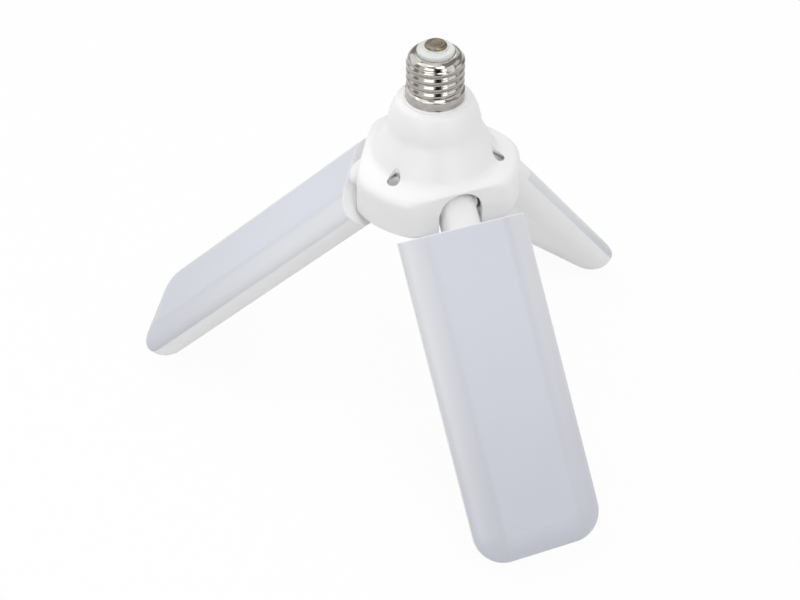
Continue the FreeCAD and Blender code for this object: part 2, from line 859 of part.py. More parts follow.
def leaf_outline(inset, start):
    """The leaf's outline, moved in by inset on the sides and the tip; its root edge stays at start."""
    inset = as_size(inset)
    side = s.leaf_half_width - inset
    tip = leaf_tip - inset
    corner = s.tip_round * (1 - inset / (s.trough_shoulder + 4 * s.trough_wall))
    return [
        (-side, start),
        (side, start),
        (side, tip - corner, corner),
        (side - corner, tip),
        (corner - side, tip, corner),
        (-side, tip - corner),
    ]


def wall_outline(inset):
    """The end wall's outline at the root."""
    side = s.leaf_half_width - inset
    return rectangle(-side, s.leaf_root, side, wall_face)


def ellipse_point(shoulder, depth, degrees, wall=0.0):
    """A point of a quarter ellipse as (inset, depth), moved in by the wall."""
    across, down = math.sin(math.radians(degrees)), math.cos(math.radians(degrees))
    lean = math.hypot(shoulder.value * across, depth.value * down)
    inset = shoulder * (1 - down) + wall * (depth.value * down / lean)
    return inset, depth * across - wall * (shoulder.value * across / lean)


DIFFUSER_ANGLES = (0, 20, 42, 65)
DIFFUSER_SHOULDER = s.diffuser_shoulder / (1 - math.cos(math.radians(DIFFUSER_ANGLES[-1])))
DIFFUSER_DEPTH = (s.diffuser_height - s.diffuser_rim) / math.sin(math.radians(DIFFUSER_ANGLES[-1]))


def diffuser_points(wall=0.0):
    return [ellipse_point(DIFFUSER_SHOULDER, DIFFUSER_DEPTH, degrees, wall) for degrees in DIFFUSER_ANGLES]


def make_leaf_housing():
    """Trough with a full end wall, board ledge, four standoffs and the knuckle with its trunnions."""
    body = new_body("leaf_housing")
    outer = [ellipse_point(s.trough_shoulder, s.trough_depth, degrees) for degrees in (0, 25, 50, 70, 90)]
    loft(body, "trough", [(leaf_outline(inset, s.leaf_root), -drop) for inset, drop in outer])
    foot = new_sketch(body, "end_wall_outline", "XY")
    draw(foot, wall_outline(as_size(0.0)))
    pad(body, "end_wall", foot, s.diffuser_rim)
    loft(body, "end_wall_crown", [(wall_outline(inset), s.diffuser_rim + rise) for inset, rise in diffuser_points()])

    recess = new_sketch(body, "recess_outline", "XY")
    draw(recess, leaf_outline(s.trough_wall, wall_face))
    board_foot = led_top - s.led_board_thickness
    pocket(body, "recess", recess, -board_foot)
    ledge = s.trough_wall + s.board_ledge
    inner = [ellipse_point(s.trough_shoulder, s.trough_depth, degrees, s.trough_wall) for degrees in (30, 60, 90)]
    loft(body, "cavity", [(leaf_outline(ledge, wall_face + s.board_ledge), board_foot)]
         + [(leaf_outline(inset, wall_face + s.board_ledge), -drop) for inset, drop in inner], cut=True)

    for number, (x, y) in enumerate(led_screw_places()):
        post = new_sketch(body, f"standoff_outline_{number}", "XY", board_foot)
        draw_circle(post, x, y, s.standoff_radius)
        pad(body, f"standoff_{number}", post, s.trough_depth + board_foot - s.trough_wall / 2, reverse=True)
        bore = new_sketch(body, f"standoff_bore_outline_{number}", "XY", board_foot)
        draw_circle(bore, x, y, s.led_screw_radius)
        pocket(body, f"standoff_bore_{number}", bore, s.led_screw_length)

    revolve(body, "knuckle", [
        (0, -s.knuckle_radius, s.knuckle_radius),
        (s.knuckle_radius, 0),
        (s.knuckle_radius, s.leaf_root + s.end_wall / 2),
        (0, s.leaf_root + s.end_wall / 2),
    ], plane="XY")
    for name, radius, reach in (
            ("trunnion_collar", s.trunnion_collar_radius, seat_inner - s.ring_thickness),
            ("trunnion", s.trunnion_radius, seat_inner + s.seat_thickness - s.cover_clearance)):
        outline = new_sketch(body, f"{name}_outline", "YZ")
        draw_circle(outline, 0, 0, radius)
        pad(body, name, outline, reach * 2, both=True)
    flat = new_sketch(body, "knuckle_flat_outline", "XY", s.knuckle_flat)
    draw(flat, rectangle(-s.knuckle_radius, -s.knuckle_radius, s.knuckle_radius, s.leaf_root))
    pocket(body, "knuckle_flat", flat, s.knuckle_radius, reverse=True)
    slot = new_sketch(body, "lead_slot_outline", "YZ")
    high, low = s.lead_slot_half_height, -s.lead_slot_half_height
    back = -s.knuckle_radius - 1.0
    draw(slot, [
        (back, back),
        (high, back),
        (high, low),
        (wall_face + s.board_ledge, low),
        (wall_face + s.board_ledge, high),
        (back, high),
    ])
    pocket(body, "lead_slot", slot, s.lead_slot_half_width * 2, both=True)
    return body


def led_screw_places():
    side = s.led_screw_side
    near, far = s.leaf_root + s.led_screw_inset, leaf_tip - s.led_screw_inset
    return [(-side, near), (side, near), (-side, far), (side, far)]


def make_diffuser():
    """Milky cover: a bevelled crown over the flat, with a rim that stands on the trough and a lip inside it."""
    body = new_body("diffuser")
    start = wall_face + s.joint_gap
    lip = s.trough_wall + s.led_board_clearance
    lip_start = wall_face + s.led_board_clearance
    rim_outline = new_sketch(body, "rim_outline", "XY", s.joint_gap)
    draw(rim_outline, leaf_outline(0, start))
    pad(body, "rim", rim_outline, s.diffuser_rim - s.joint_gap)
    loft(body, "crown", [(leaf_outline(inset, start), s.diffuser_rim + rise) for inset, rise in diffuser_points()])
    lip_outline = new_sketch(body, "lip_outline", "XY", led_top)
    draw(lip_outline, leaf_outline(lip, lip_start))
    pad(body, "lip", lip_outline, s.joint_gap - led_top)
    loft(body, "crown_space", [(leaf_outline(inset, start + s.diffuser_wall), s.diffuser_rim + rise)
                               for inset, rise in diffuser_points(s.diffuser_wall)], cut=True)
    opening = new_sketch(body, "opening_outline", "XY", s.diffuser_rim)
    draw(opening, leaf_outline(lip + s.lip_width, lip_start + s.lip_width))
    pocket(body, "opening", opening, s.diffuser_rim - led_top)
    notch = new_sketch(body, "lead_notch_outline", "XY", s.diffuser_rim)
    half = s.lead_slot_half_width
    draw(notch, rectangle(-half, wall_face, half, lip_start + s.lip_width * 2))
    pocket(body, "lead_notch", notch, s.diffuser_rim - led_top)
    return body


def make_led_board():
    body = new_body("led_board")
    outline = new_sketch(body, "board_outline", "XY", led_top)
    draw(outline, leaf_outline(s.trough_wall + s.led_board_clearance, wall_face + s.led_board_clearance))
    pad(body, "board", outline, s.led_board_thickness, reverse=True)
    holes = new_sketch(body, "hole_outline", "XY", led_top)
    for x, y in led_screw_places():
        draw_circle(holes, x, y, s.led_screw_radius + s.screw_clearance)
    pocket(body, "holes", holes, s.led_board_thickness * 2)
    return body


def make_led_packages():
    """Three columns of LED packages, as one group of separate blocks."""
    blocks = []
    for column in (-1, 0, 1):
        for row in range(int(s.led_rows.value)):
            blocks.append(block(f"led_{column + 1}_{row}", s.led_width, s.led_depth, s.led_height,
                                s.led_column_pitch * column, s.leaf_root + s.led_start + s.led_pitch * row, led_top))
    return group("led_packages", blocks)


def make_led_screws():
    return group("led_screws", [
        make_screw(f"led_screw_{number}", s.led_screw_radius, s.led_screw_length,
                   s.led_screw_head_radius, s.led_screw_head_height, x, y, led_top)
        for number, (x, y) in enumerate(led_screw_places())])


def make_friction_rings():
    """One washer on each trunnion; they hold the leaf where it is turned."""
    rings = []
    for side in (1, -1):
        body = new_body("friction_ring")
        start = (seat_inner - s.ring_thickness) if side > 0 else -seat_inner
        outline = new_sketch(body, "ring_outline", "YZ", start)
        draw_circle(outline, 0, 0, s.ring_radius)
        draw_circle(outline, 0, 0, s.trunnion_radius + s.trunnion_clearance)
        pad(body, "ring", outline, s.ring_thickness)
        rings.append(body)
    return group("friction_rings", rings)


def make_leaf_leads():
    """The pair inside the leaf, from the pivot onto the LED board."""
    wires = []
    for side in (1, -1):
        wire = cylinder("leaf_wire", s.lead_radius, s.leaf_lead_end - s.pivot_gap, s.lead_half_pitch * side,
                        s.pivot_gap, 0)
        wire.Placement.Rotation = FreeCAD.Rotation(FreeCAD.Vector(1, 0, 0), -90)
        wires.append(wire)
    return group("leaf_leads", wires)


def make_hub_leads():
    """The pair inside the hub, from the driver board to the pivot of the front leaf."""
    return group("hub_leads", [
        bent_lead("hub_wire", "YZ", s.lead_half_pitch * side, (-s.lead_start_radius, board_bottom), hinge_height,
                  -s.hinge_radius + s.pivot_gap, s.lead_bend)
        for side in (1, -1)])


def place_leaves():
    """Puts one set of leaf pieces on each side of the hub, turned down as far as in the picture."""
    pieces = {
        "leaf_housing": make_leaf_housing(),
        "diffuser": make_diffuser(),
        "led_board": make_led_board(),
        "leds": make_led_packages(),
        "led_screws": make_led_screws(),
        "friction_rings": make_friction_rings(),
        "leaf_leads": make_leaf_leads(),
    }
    hub_leads = make_hub_leads()
    for name, degrees in LEAVES.items():
        round_z = FreeCAD.Rotation(FreeCAD.Vector(0, 0, 1), degrees)
        down = FreeCAD.Rotation(FreeCAD.Vector(1, 0, 0), float(sheet.get(f"{name}_tilt")))
        outward = FreeCAD.Rotation(FreeCAD.Vector(0, 0, 1), 180)
        pivot = round_z.multVec(FreeCAD.Vector(0, -s.hinge_radius.value, hinge_height.value))
        for piece, item in pieces.items():
            leaf_piece = group(f"{name}_{piece}", [item])
            leaf_piece.Placement = FreeCAD.Placement(pivot, round_z * down * outward)
            keep(f"{name}_{piece}", leaf_piece)
        hub_piece = group(f"{name}_hub_leads", [hub_leads])
        hub_piece.Placement = FreeCAD.Placement(FreeCAD.Vector(0, 0, 0), round_z)
        keep(f"{name}_hub_leads", hub_piece)


make_centre_contact()
make_cap_insulator()
make_cap_shell()
make_upper_housing()
make_lower_housing()
make_hub_screws()
make_driver_board()
make_driver_parts()
make_cap_leads()
place_leaves()
doc.recompute()

# ---------------------------------------------------------------- checks and export

for item in doc.Objects:
    if "Invalid" in item.State or "Error" in item.State:
        raise RuntimeError(f"{item.Label} did not compute: {item.State}")
for label, item in parts.items():
    if item.Shape.isNull() or not item.Shape.isValid() or not item.Shape.Solids:
        raise RuntimeError(f"{label} is not a sound solid")

os.makedirs("parts", exist_ok=True)
for label, item in parts.items():
    item.Shape.exportStep(f"parts/{label}.step")
    print(label, len(item.Shape.Solids), round(item.Shape.Volume / 1000, 3), "cm3")
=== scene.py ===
"""Folding leaf lamp: the finished look of every piece, its floor and its studio light.

Metres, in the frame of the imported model: +Z up along the cap's axis, origin on the centre contact's tip.
"""
import json
import math

import bmesh
import bpy
from mathutils import Matrix, Vector


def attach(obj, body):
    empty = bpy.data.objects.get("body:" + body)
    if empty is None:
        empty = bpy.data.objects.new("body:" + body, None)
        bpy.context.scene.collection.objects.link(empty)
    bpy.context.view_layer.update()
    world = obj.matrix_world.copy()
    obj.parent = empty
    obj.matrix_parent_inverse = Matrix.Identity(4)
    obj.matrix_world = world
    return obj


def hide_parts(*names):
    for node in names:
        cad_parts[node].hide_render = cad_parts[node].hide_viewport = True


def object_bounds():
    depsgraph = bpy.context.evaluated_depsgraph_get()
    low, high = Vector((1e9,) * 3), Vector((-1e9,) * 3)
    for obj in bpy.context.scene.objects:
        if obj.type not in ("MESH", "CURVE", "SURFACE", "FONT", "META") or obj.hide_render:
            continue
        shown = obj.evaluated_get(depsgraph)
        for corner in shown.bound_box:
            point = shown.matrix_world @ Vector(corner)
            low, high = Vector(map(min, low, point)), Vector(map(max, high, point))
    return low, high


bl_info = {
    "name": "Folding leaf lamp",
    "version": (1, 0, 0),
    "blender": (4, 5, 0),
    "location": "3D View > Sidebar > Lamp",
    "description": "Builds the finish of a screw-in lamp with three folding LED leaves",
    "category": "Object",
}

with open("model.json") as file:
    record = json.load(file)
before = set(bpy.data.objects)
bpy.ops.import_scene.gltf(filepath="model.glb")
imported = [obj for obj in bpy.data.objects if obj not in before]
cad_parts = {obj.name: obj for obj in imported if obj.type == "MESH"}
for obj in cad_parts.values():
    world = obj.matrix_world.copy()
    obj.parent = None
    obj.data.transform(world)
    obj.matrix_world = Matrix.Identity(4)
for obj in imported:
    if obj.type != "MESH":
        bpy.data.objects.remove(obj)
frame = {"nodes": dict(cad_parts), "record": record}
CAD_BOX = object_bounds()
NODES = frame["nodes"]

# Places that the pieces share with the solids.
RIM = -0.027
HINGE_RADIUS = 0.0245
HINGE_HEIGHT = RIM - 0.04125

# The leaves: each one's turn about the cap's axis and its fall below level, in degrees.
LEAVES = {"front": (0.0, 46.87), "left": (-120.0, 43.74), "right": (120.0, 50.09)}


# ---------------------------------------------------------------- shader nodes

class Value:
    """One output of a shader node; arithmetic on it adds Math nodes."""

    def __init__(self, finish, socket):
        self.finish = finish
        self.socket = socket

    def math(self, operation, *others, swap=False):
        values = [self, *others]
        if swap:
            values.reverse()
        return self.finish.node("ShaderNodeMath", {"operation": operation}, dict(enumerate(values)))

    def __add__(self, other):
        return self.math("ADD", other)

    def __radd__(self, other):
        return self.math("ADD", other)

    def __sub__(self, other):
        return self.math("SUBTRACT", other)

    def __rsub__(self, other):
        return self.math("SUBTRACT", other, swap=True)

    def __mul__(self, other):
        return self.math("MULTIPLY", other)

    def __rmul__(self, other):
        return self.math("MULTIPLY", other)

    def step(self, low, high):
        """0 before low, 1 past high, smooth between them; low may be the greater of the two."""
        return self.finish.node("ShaderNodeMapRange", {"interpolation_type": "SMOOTHSTEP"},
                                {"Value": self, "From Min": low, "From Max": high})

    def near(self, centre, reach):
        """1 at the centre, 0 from reach away."""
        return (self - centre).math("ABSOLUTE").step(reach, 0.0)


class Finish:
    """A material round one Principled shader."""

    def __init__(self, name, **constants):
        self.material = bpy.data.materials.new(name)
        self.material.use_nodes = True
        self.tree = self.material.node_tree
        self.shader = next(n for n in self.tree.nodes if n.type == "BSDF_PRINCIPLED")
        for socket, value in constants.items():
            self.set(socket.replace("_", " "), value)

    def set(self, socket, value):
        target = self.shader.inputs[socket]
        if isinstance(value, Value):
            self.tree.links.new(value.socket, target)
        else:
            target.default_value = value

    def node(self, kind, settings, inputs, output=0):
        """Adds a node: its settings first, then the values or links of its sockets."""
        node = self.tree.nodes.new(kind)
        for key, value in settings.items():
            setattr(node, key, value)
        for key, value in inputs.items():
            if isinstance(value, Value):
                self.tree.links.new(value.socket, node.inputs[key])
            else:
                node.inputs[key].default_value = value
        return Value(self, node.outputs[output])

    def place(self):
        return self.node("ShaderNodeTexCoord", {}, {}, "Object")

    def axes(self, where=None):
        """x, y and z of a place, which is the piece's own unless one is given."""
        split = self.node("ShaderNodeSeparateXYZ", {}, {0: where or self.place()})
        return [Value(self, split.socket.node.outputs[n]) for n in range(3)]

    def noise(self, scale, detail=3.0, roughness=0.5, stretch=(1.0, 1.0, 1.0)):
        """Even noise round 0.5; scale counts features per metre."""
        where = self.node("ShaderNodeMapping", {}, {"Vector": self.place(), "Scale": stretch})
        return self.node("ShaderNodeTexNoise", {}, {"Vector": where, "Scale": scale, "Detail": detail,
                                                    "Roughness": roughness})

    def mix(self, factor, first, second):
        """A colour between two."""
        return self.node("ShaderNodeMix", {"data_type": "RGBA"}, {0: factor, 6: first, 7: second}, 2)

    def bump(self, height, strength, distance):
        self.set("Normal", self.node("ShaderNodeBump", {}, {"Height": height, "Strength": strength,
                                                            "Distance": distance}))

    def show(self, shader):
        """Puts another shader in the place of the Principled one."""
        out = next(n for n in self.tree.nodes if n.type == "OUTPUT_MATERIAL")
        self.tree.links.new(shader.socket, out.inputs["Surface"])


# ---------------------------------------------------------------- finishes

def shade(colour, factor):
    return tuple(min(1.0, channel * factor) for channel in colour[:3]) + (1.0,)


def moulded(name, colour, roughness, spread=0.03):
    """Injection-moulded plastic: slight clouding, a fine grain and uneven gloss."""
    finish = Finish(name, Specular_IOR_Level=0.45)
    cloud = finish.noise(30.0, 4.0)
    finish.set("Base Color", finish.mix(cloud, shade(colour, 1.0 - spread), shade(colour, 1.0 + spread)))
    finish.set("Roughness", roughness - 0.06 + finish.noise(180.0) * 0.12)
    finish.bump(finish.noise(2500.0, 2.0), 0.12, 0.00004)
    return finish.material


def milky_cover(name, middle, edge):
    """Milky plastic, bluer over the light board than on the shoulders; by the crease a painted shade line and
    a painted highlight, painted light towards the rim and on the root's end face, and painted shade towards
    the tip.
    """
    finish = Finish(f"{name}_milk", Specular_IOR_Level=0.32)
    place = leaf_place(name)
    local = finish.node("ShaderNodeMapping", {"vector_type": "TEXTURE"},
                        {"Vector": finish.place(), "Location": place.to_translation(),
                         "Rotation": place.to_euler()})
    x, along, _ = finish.axes(local)
    across = x.math("ABSOLUTE")
    drift = (finish.noise(22.0) - 0.5) * 0.006
    tones_and_painted_light = (
        ((across + drift).step(0.0165, 0.0225), edge),              # the shoulder
        (across.near(0.0190, 0.0028) * 0.6, shade(middle, 0.94)),   # painted shade: a faint dark line outside the crease
        (across.near(0.0240, 0.0052) * 0.6, shade(edge, 1.09)),     # painted highlight: a light line beside it
        (across.step(0.0235, 0.0303), shade(edge, 1.13)),           # painted light from below: paler towards the rim
        (along.step(0.04, 0.17) * 0.8, shade(middle, 0.85)),        # painted shade: darker towards the tip
        (along.step(0.0130, 0.0120), (0.86, 0.86, 0.87, 1.0)),      # painted light on the end face at the root, against the hub's shade
        (finish.noise(60.0, 4.0) * 0.10, (0.80, 0.78, 0.80, 1.0)),  # slight clouding
    )
    colour = middle
    for strength, tint in tones_and_painted_light:
        colour = finish.mix(strength, colour, tint)
    finish.set("Base Color", colour)
    finish.set("Roughness", 0.27 + finish.noise(150.0) * 0.10)
    finish.bump(finish.noise(1400.0, 2.0), 0.04, 0.00003)
    return finish.material


def cap_nickel(nickel):
    """Plated sheet: slight tarnish, and fine marks drawn out round the cap."""
    finish = Finish("cap_nickel", Metallic=1.0, Specular_IOR_Level=0.5)
    tarnish = finish.noise(420.0, 5.0, 0.6)
    finish.set("Base Color", finish.mix(tarnish.step(0.35, 0.75), nickel, shade(nickel, 0.82)))
    finish.set("Roughness", 0.09 + finish.noise(900.0) * 0.10)
    finish.bump(finish.noise(700.0, stretch=(0.25, 0.25, 3.0)), 0.15, 0.00003)
    return finish.material


def contact_brass():
    """Dull brass with turned rings and worn patches."""
    finish = Finish("contact_brass", Metallic=1.0)
    x, y, _ = finish.axes()
    rings = ((x * x + y * y).math("SQRT") * 5200.0).math("SINE")
    worn = finish.noise(600.0, 5.0, 0.65)
    brass, brown = (0.27, 0.23, 0.17, 1.0), (0.19, 0.15, 0.13, 1.0)
    finish.set("Base Color", finish.mix(worn.step(0.3, 0.8), brass, brown))
    finish.set("Roughness", 0.28 + worn * 0.2)
    finish.bump(rings * 0.3 + worn, 0.1, 0.00003)
    return finish.material


def insulator_glass():
    """Cast white glass, speckled and slightly wavy."""
    finish = Finish("insulator_glass", Coat_Weight=0.5, Coat_Roughness=0.12)
    speckle = finish.noise(1500.0)
    finish.set("Base Color", finish.mix(speckle, (0.60, 0.625, 0.60, 1.0), (0.74, 0.76, 0.74, 1.0)))
    finish.set("Roughness", 0.22 + speckle * 0.15)
    finish.bump(finish.noise(500.0, 2.0), 0.1, 0.00008)
    return finish.material


def screw_zinc():
    """Zinc plating with a fine brushed grain."""
    finish = Finish("screw_zinc", Metallic=1.0)
    brushed = finish.noise(2600.0)
    finish.set("Base Color", finish.mix(brushed, (0.60, 0.60, 0.60, 1.0), (0.78, 0.78, 0.77, 1.0)))
    finish.set("Roughness", 0.42 + brushed * 0.2)
    finish.bump(brushed, 0.15, 0.00003)
    return finish.material


def led_phosphor():
    """Yellow gel over the light chips."""
    finish = Finish("led_phosphor", Coat_Weight=0.6)
    gel = finish.noise(1900.0, 2.0)
    finish.set("Base Color", finish.mix(gel, (0.86, 0.66, 0.16, 1.0), (0.93, 0.80, 0.34, 1.0)))
    finish.set("Roughness", 0.25 + gel * 0.15)
    return finish.material


def led_board_white():
    """White lacquer over light copper tracks, which show as slightly raised patches."""
    finish = Finish("board_white", Coat_Weight=0.3, Coat_Roughness=0.2)
    tracks = finish.noise(260.0, 1.0)
    bare, raised = (0.78, 0.78, 0.75, 1.0), (0.86, 0.86, 0.84, 1.0)
    finish.set("Base Color", finish.mix(tracks.step(0.48, 0.52), bare, raised))
    finish.set("Roughness", 0.4 + tracks * 0.1)
    finish.bump(tracks.step(0.47, 0.53), 0.4, 0.00004)
    return finish.material


def driver_board_green():
    """Green lacquer, lighter over the tracks."""
    finish = Finish("board_green", Coat_Weight=0.4, Coat_Roughness=0.15)
    tracks = finish.noise(420.0, 0.0)
    bare, raised = (0.02, 0.12, 0.05, 1.0), (0.05, 0.22, 0.09, 1.0)
    finish.set("Base Color", finish.mix(tracks.step(0.49, 0.51), bare, raised))
    finish.set("Roughness", 0.35 + tracks * 0.1)
    finish.bump(tracks.step(0.48, 0.52), 0.5, 0.00004)
    return finish.material


# Plain moulded finishes: colour and roughness.
PLAIN = {
    "friction": ((0.13, 0.13, 0.132), 0.75),
    "capacitor": ((0.03, 0.035, 0.06), 0.3),
    "choke": ((0.20, 0.09, 0.04), 0.38),
    "black_parts": ((0.012, 0.012, 0.012), 0.5),
    "varistor": ((0.02, 0.08, 0.38), 0.3),
    "resistor": ((0.52, 0.42, 0.28), 0.45),
    "line_wire": ((0.55, 0.02, 0.015), 0.4),
    "neutral_wire": ((0.02, 0.02, 0.02), 0.4),
    "leaf_wires": ((0.75, 0.75, 0.73), 0.4),
}
MATERIALS = {}


def make_materials(colours):
    """Fills MATERIALS, whose keys are material slots, or nodes that have a finish of their own."""
    MATERIALS["housing"] = moulded("housing_white", colours.housing, 0.43)
    middle, edge = (*colours.diffuser, 1.0), (*colours.diffuser_edge, 1.0)
    for name in LEAVES:
        MATERIALS[f"{name}_diffuser"] = milky_cover(name, middle, edge)
    MATERIALS["cap_metal"] = cap_nickel((*colours.nickel, 1.0))
    MATERIALS["contact"] = contact_brass()
    MATERIALS["insulator"] = insulator_glass()
    MATERIALS["screws"] = screw_zinc()
    MATERIALS["led"] = led_phosphor()
    MATERIALS["led_board"] = led_board_white()
    MATERIALS["driver_board"] = driver_board_green()
    for slot, (colour, roughness) in PLAIN.items():
        MATERIALS[slot] = moulded(f"{slot}_finish", colour, roughness, spread=0.12)


# ---------------------------------------------------------------- shaping

def ramp(value, low, high):
    """0 below low, 1 above high, even between them."""
    return min(max((value - low) / (high - low), 0.0), 1.0)


def soft_limit(value, limit, width):
    """The smaller of two lengths, rounded where they meet."""
    blend = max(0.0, 1.0 - abs(value - limit) / width)
    return min(value, limit) - width * blend * blend / 4


def arc_points(path, step):
    """Turns a path of (x, y) and (x, y, radius) into plain points. A radius starts an arc, which bows to the
    right of its way where the radius is positive."""
    points = []
    for index, entry in enumerate(path):
        start = Vector(entry[:2])
        points.append(start)
        if len(entry) == 2 or index + 1 == len(path):
            continue
        end = Vector(path[index + 1][:2])
        radius, turn = abs(entry[2]), math.copysign(1.0, entry[2])
        half = (end - start).length / 2
        away = math.sqrt(max(radius * radius - half * half, 0.0))
        side = Vector((-(end - start).y, (end - start).x)).normalized() * turn
        centre = (start + end) / 2 + side * away
        first = math.atan2(start.y - centre.y, start.x - centre.x)
        sweep = 2 * math.asin(min(half / radius, 1.0)) * turn
        count = max(2, round(abs(sweep) * radius / step))
        for part in range(1, count):
            angle = first + sweep * part / count
            points.append(centre + radius * Vector((math.cos(angle), math.sin(angle))))
    return points


def fine(points, step):
    """The same open line with a point at least every step."""
    result = [points[0]]
    for start, end in zip(points, points[1:]):
        count = max(1, math.ceil((Vector(end) - Vector(start)).length / step))
        result += [Vector(start).lerp(Vector(end), part / count) for part in range(1, count + 1)]
    return result


def half_circle(centre, radius, count):
    """Points over the top of a circle, from its right side to its left."""
    turns = [math.pi * part / count for part in range(count + 1)]
    return [(centre[0] + radius * math.cos(turn), centre[1] + radius * math.sin(turn)) for turn in turns]


def spin_profile(bm, points, steps):
    """Spins points of (radius, height) about Z into a closed shape."""
    verts = [bm.verts.new((x, 0.0, z)) for x, z in points]
    ends = verts[1:] if points[0][0] == 0.0 else verts[1:] + verts[:1]
    edges = [bm.edges.new(pair) for pair in zip(verts, ends)]
    bmesh.ops.spin(bm, geom=verts + edges, cent=(0, 0, 0), axis=(0, 0, 1), angle=2 * math.pi, steps=steps,
                   use_merge=True, use_duplicate=False)
    bmesh.ops.remove_doubles(bm, verts=bm.verts, dist=1e-6)
    bmesh.ops.dissolve_degenerate(bm, edges=bm.edges, dist=1e-7)
    bmesh.ops.recalc_face_normals(bm, faces=bm.faces)


def cylinder(bm, radius, ends, place, steps=48):
    """A closed cylinder along Z between two ends, moved by place."""
    low, high = sorted(ends)
    bmesh.ops.create_cone(bm, cap_ends=True, segments=steps, radius1=radius, radius2=radius, depth=high - low,
                          matrix=place @ Matrix.Translation((0.0, 0.0, (low + high) / 2)))


def slab(bm, outline, push, place=Matrix()):
    """A flat outline pushed along a vector into a solid."""
    verts = [bm.verts.new(place @ Vector(point)) for point in outline]
    face = bm.faces.new(verts)
    made = bmesh.ops.extrude_face_region(bm, geom=[face], use_keep_orig=True)["geom"]
    moved = [item for item in made if isinstance(item, bmesh.types.BMVert)]
    bmesh.ops.translate(bm, verts=moved, vec=place.to_3x3() @ Vector(push))
    bmesh.ops.recalc_face_normals(bm, faces=bm.faces)


def mesh_object(bm, name):
    mesh = bpy.data.meshes.new(name)
    bm.to_mesh(mesh)
    bm.free()
    shape = bpy.data.objects.new(name, mesh)
    bpy.context.scene.collection.objects.link(shape)
    return shape


def carve(bm, cutter):
    """Cuts another closed shape out of this one, and returns what is left as a new bmesh."""
    shape = mesh_object(bm, "blank")
    tool = mesh_object(cutter, "cutter")
    cut = shape.modifiers.new("cut", "BOOLEAN")
    cut.operation = "DIFFERENCE"
    cut.solver = "EXACT"
    cut.object = tool
    evaluated = shape.evaluated_get(bpy.context.evaluated_depsgraph_get())
    result = bmesh.new()
    result.from_mesh(evaluated.to_mesh())
    evaluated.to_mesh_clear()
    for item in (shape, tool):
        mesh = item.data
        bpy.data.objects.remove(item)
        bpy.data.meshes.remove(mesh)
    bmesh.ops.remove_doubles(result, verts=result.verts, dist=1e-6)
    bmesh.ops.dissolve_degenerate(result, edges=result.edges, dist=1e-7)
    return result


def add_shape(bm, other):
    """Adds another shape to this one, uncut."""
    mesh = bpy.data.meshes.new("added")
    other.to_mesh(mesh)
    other.free()
    bm.from_mesh(mesh)
    bpy.data.meshes.remove(mesh)


def piece_from(bm, name, slot, body, node, sharp=35.0, material=None, creases=()):
    """Makes an object of the shape, which stands for the node and rides on the body. Edges that turn by more
    than sharp degrees stay sharp, and so do the creases."""
    for face in bm.faces:
        face.smooth = True
    for edge in bm.edges:
        edge.smooth = edge.calc_face_angle(0.0) < math.radians(sharp)
    for edge in creases:
        edge.smooth = False
    piece = mesh_object(bm, name)
    piece.data.materials.append(MATERIALS[material or slot])
    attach(piece, body)
    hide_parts(node)


def dress(node, material):
    """Gives a CAD node its finish."""
    obj = NODES[node]
    if not obj.material_slots:
        obj.data.materials.append(MATERIALS[material])
    for slot in obj.material_slots:
        slot.material = MATERIALS[material]


def turned(degrees):
    """A turn about the cap's axis."""
    return Matrix.Rotation(math.radians(degrees), 4, "Z")


def leaf_place(name):
    """From a leaf's own frame, with its hinge along X and its tip towards +Y, to its place on the hub."""
    turn, fall = LEAVES[name]
    pivot = turned(turn) @ Vector((0.0, -HINGE_RADIUS, HINGE_HEIGHT))
    down = Matrix.Rotation(math.radians(fall), 4, "X")
    return Matrix.Translation(pivot) @ turned(turn) @ down @ turned(180.0)


# ---------------------------------------------------------------- sizes and colours a user would change

class LampCapSizes(bpy.types.PropertyGroup):
    thread_pitch: bpy.props.FloatProperty(
        name="Thread pitch", description="Rise of the cap's thread in one turn",
        default=0.00363, min=0.002, max=0.006, unit="LENGTH", precision=5)
    thread_height: bpy.props.FloatProperty(
        name="Thread height", description="How far the thread stands out",
        default=0.00075, min=0.0, max=0.0012, unit="LENGTH", precision=5)
    thread_turn: bpy.props.FloatProperty(
        name="Thread start", description="Where on the barrel the thread begins",
        default=0.0, subtype="ANGLE")
    steps: bpy.props.IntProperty(
        name="Steps", description="Faces round the cap",
        default=120, min=24, max=240)


class LampHubSizes(bpy.types.PropertyGroup):
    flat_distance: bpy.props.FloatProperty(
        name="Flat distance", description="From the axis to each flat",
        default=0.0321, min=0.028, max=0.039, unit="LENGTH", precision=5)
    soft_edge: bpy.props.FloatProperty(
        name="Soft edge", description="Rounding of the flats' edges",
        default=0.0022, min=0.0005, max=0.004, unit="LENGTH", precision=5)
    crest_round: bpy.props.FloatProperty(
        name="Crest rounding", description="Extra rounding of the flats' upper edges",
        default=0.0018, min=0.0, max=0.007, unit="LENGTH", precision=5)
    foot_round: bpy.props.FloatProperty(
        name="Foot rounding", description="Radius of the hub's lower edge",
        default=0.0015, min=0.0003, max=0.003, unit="LENGTH", precision=5)
    steps: bpy.props.IntProperty(
        name="Steps", description="Faces round the hub",
        default=168, min=60, max=360)


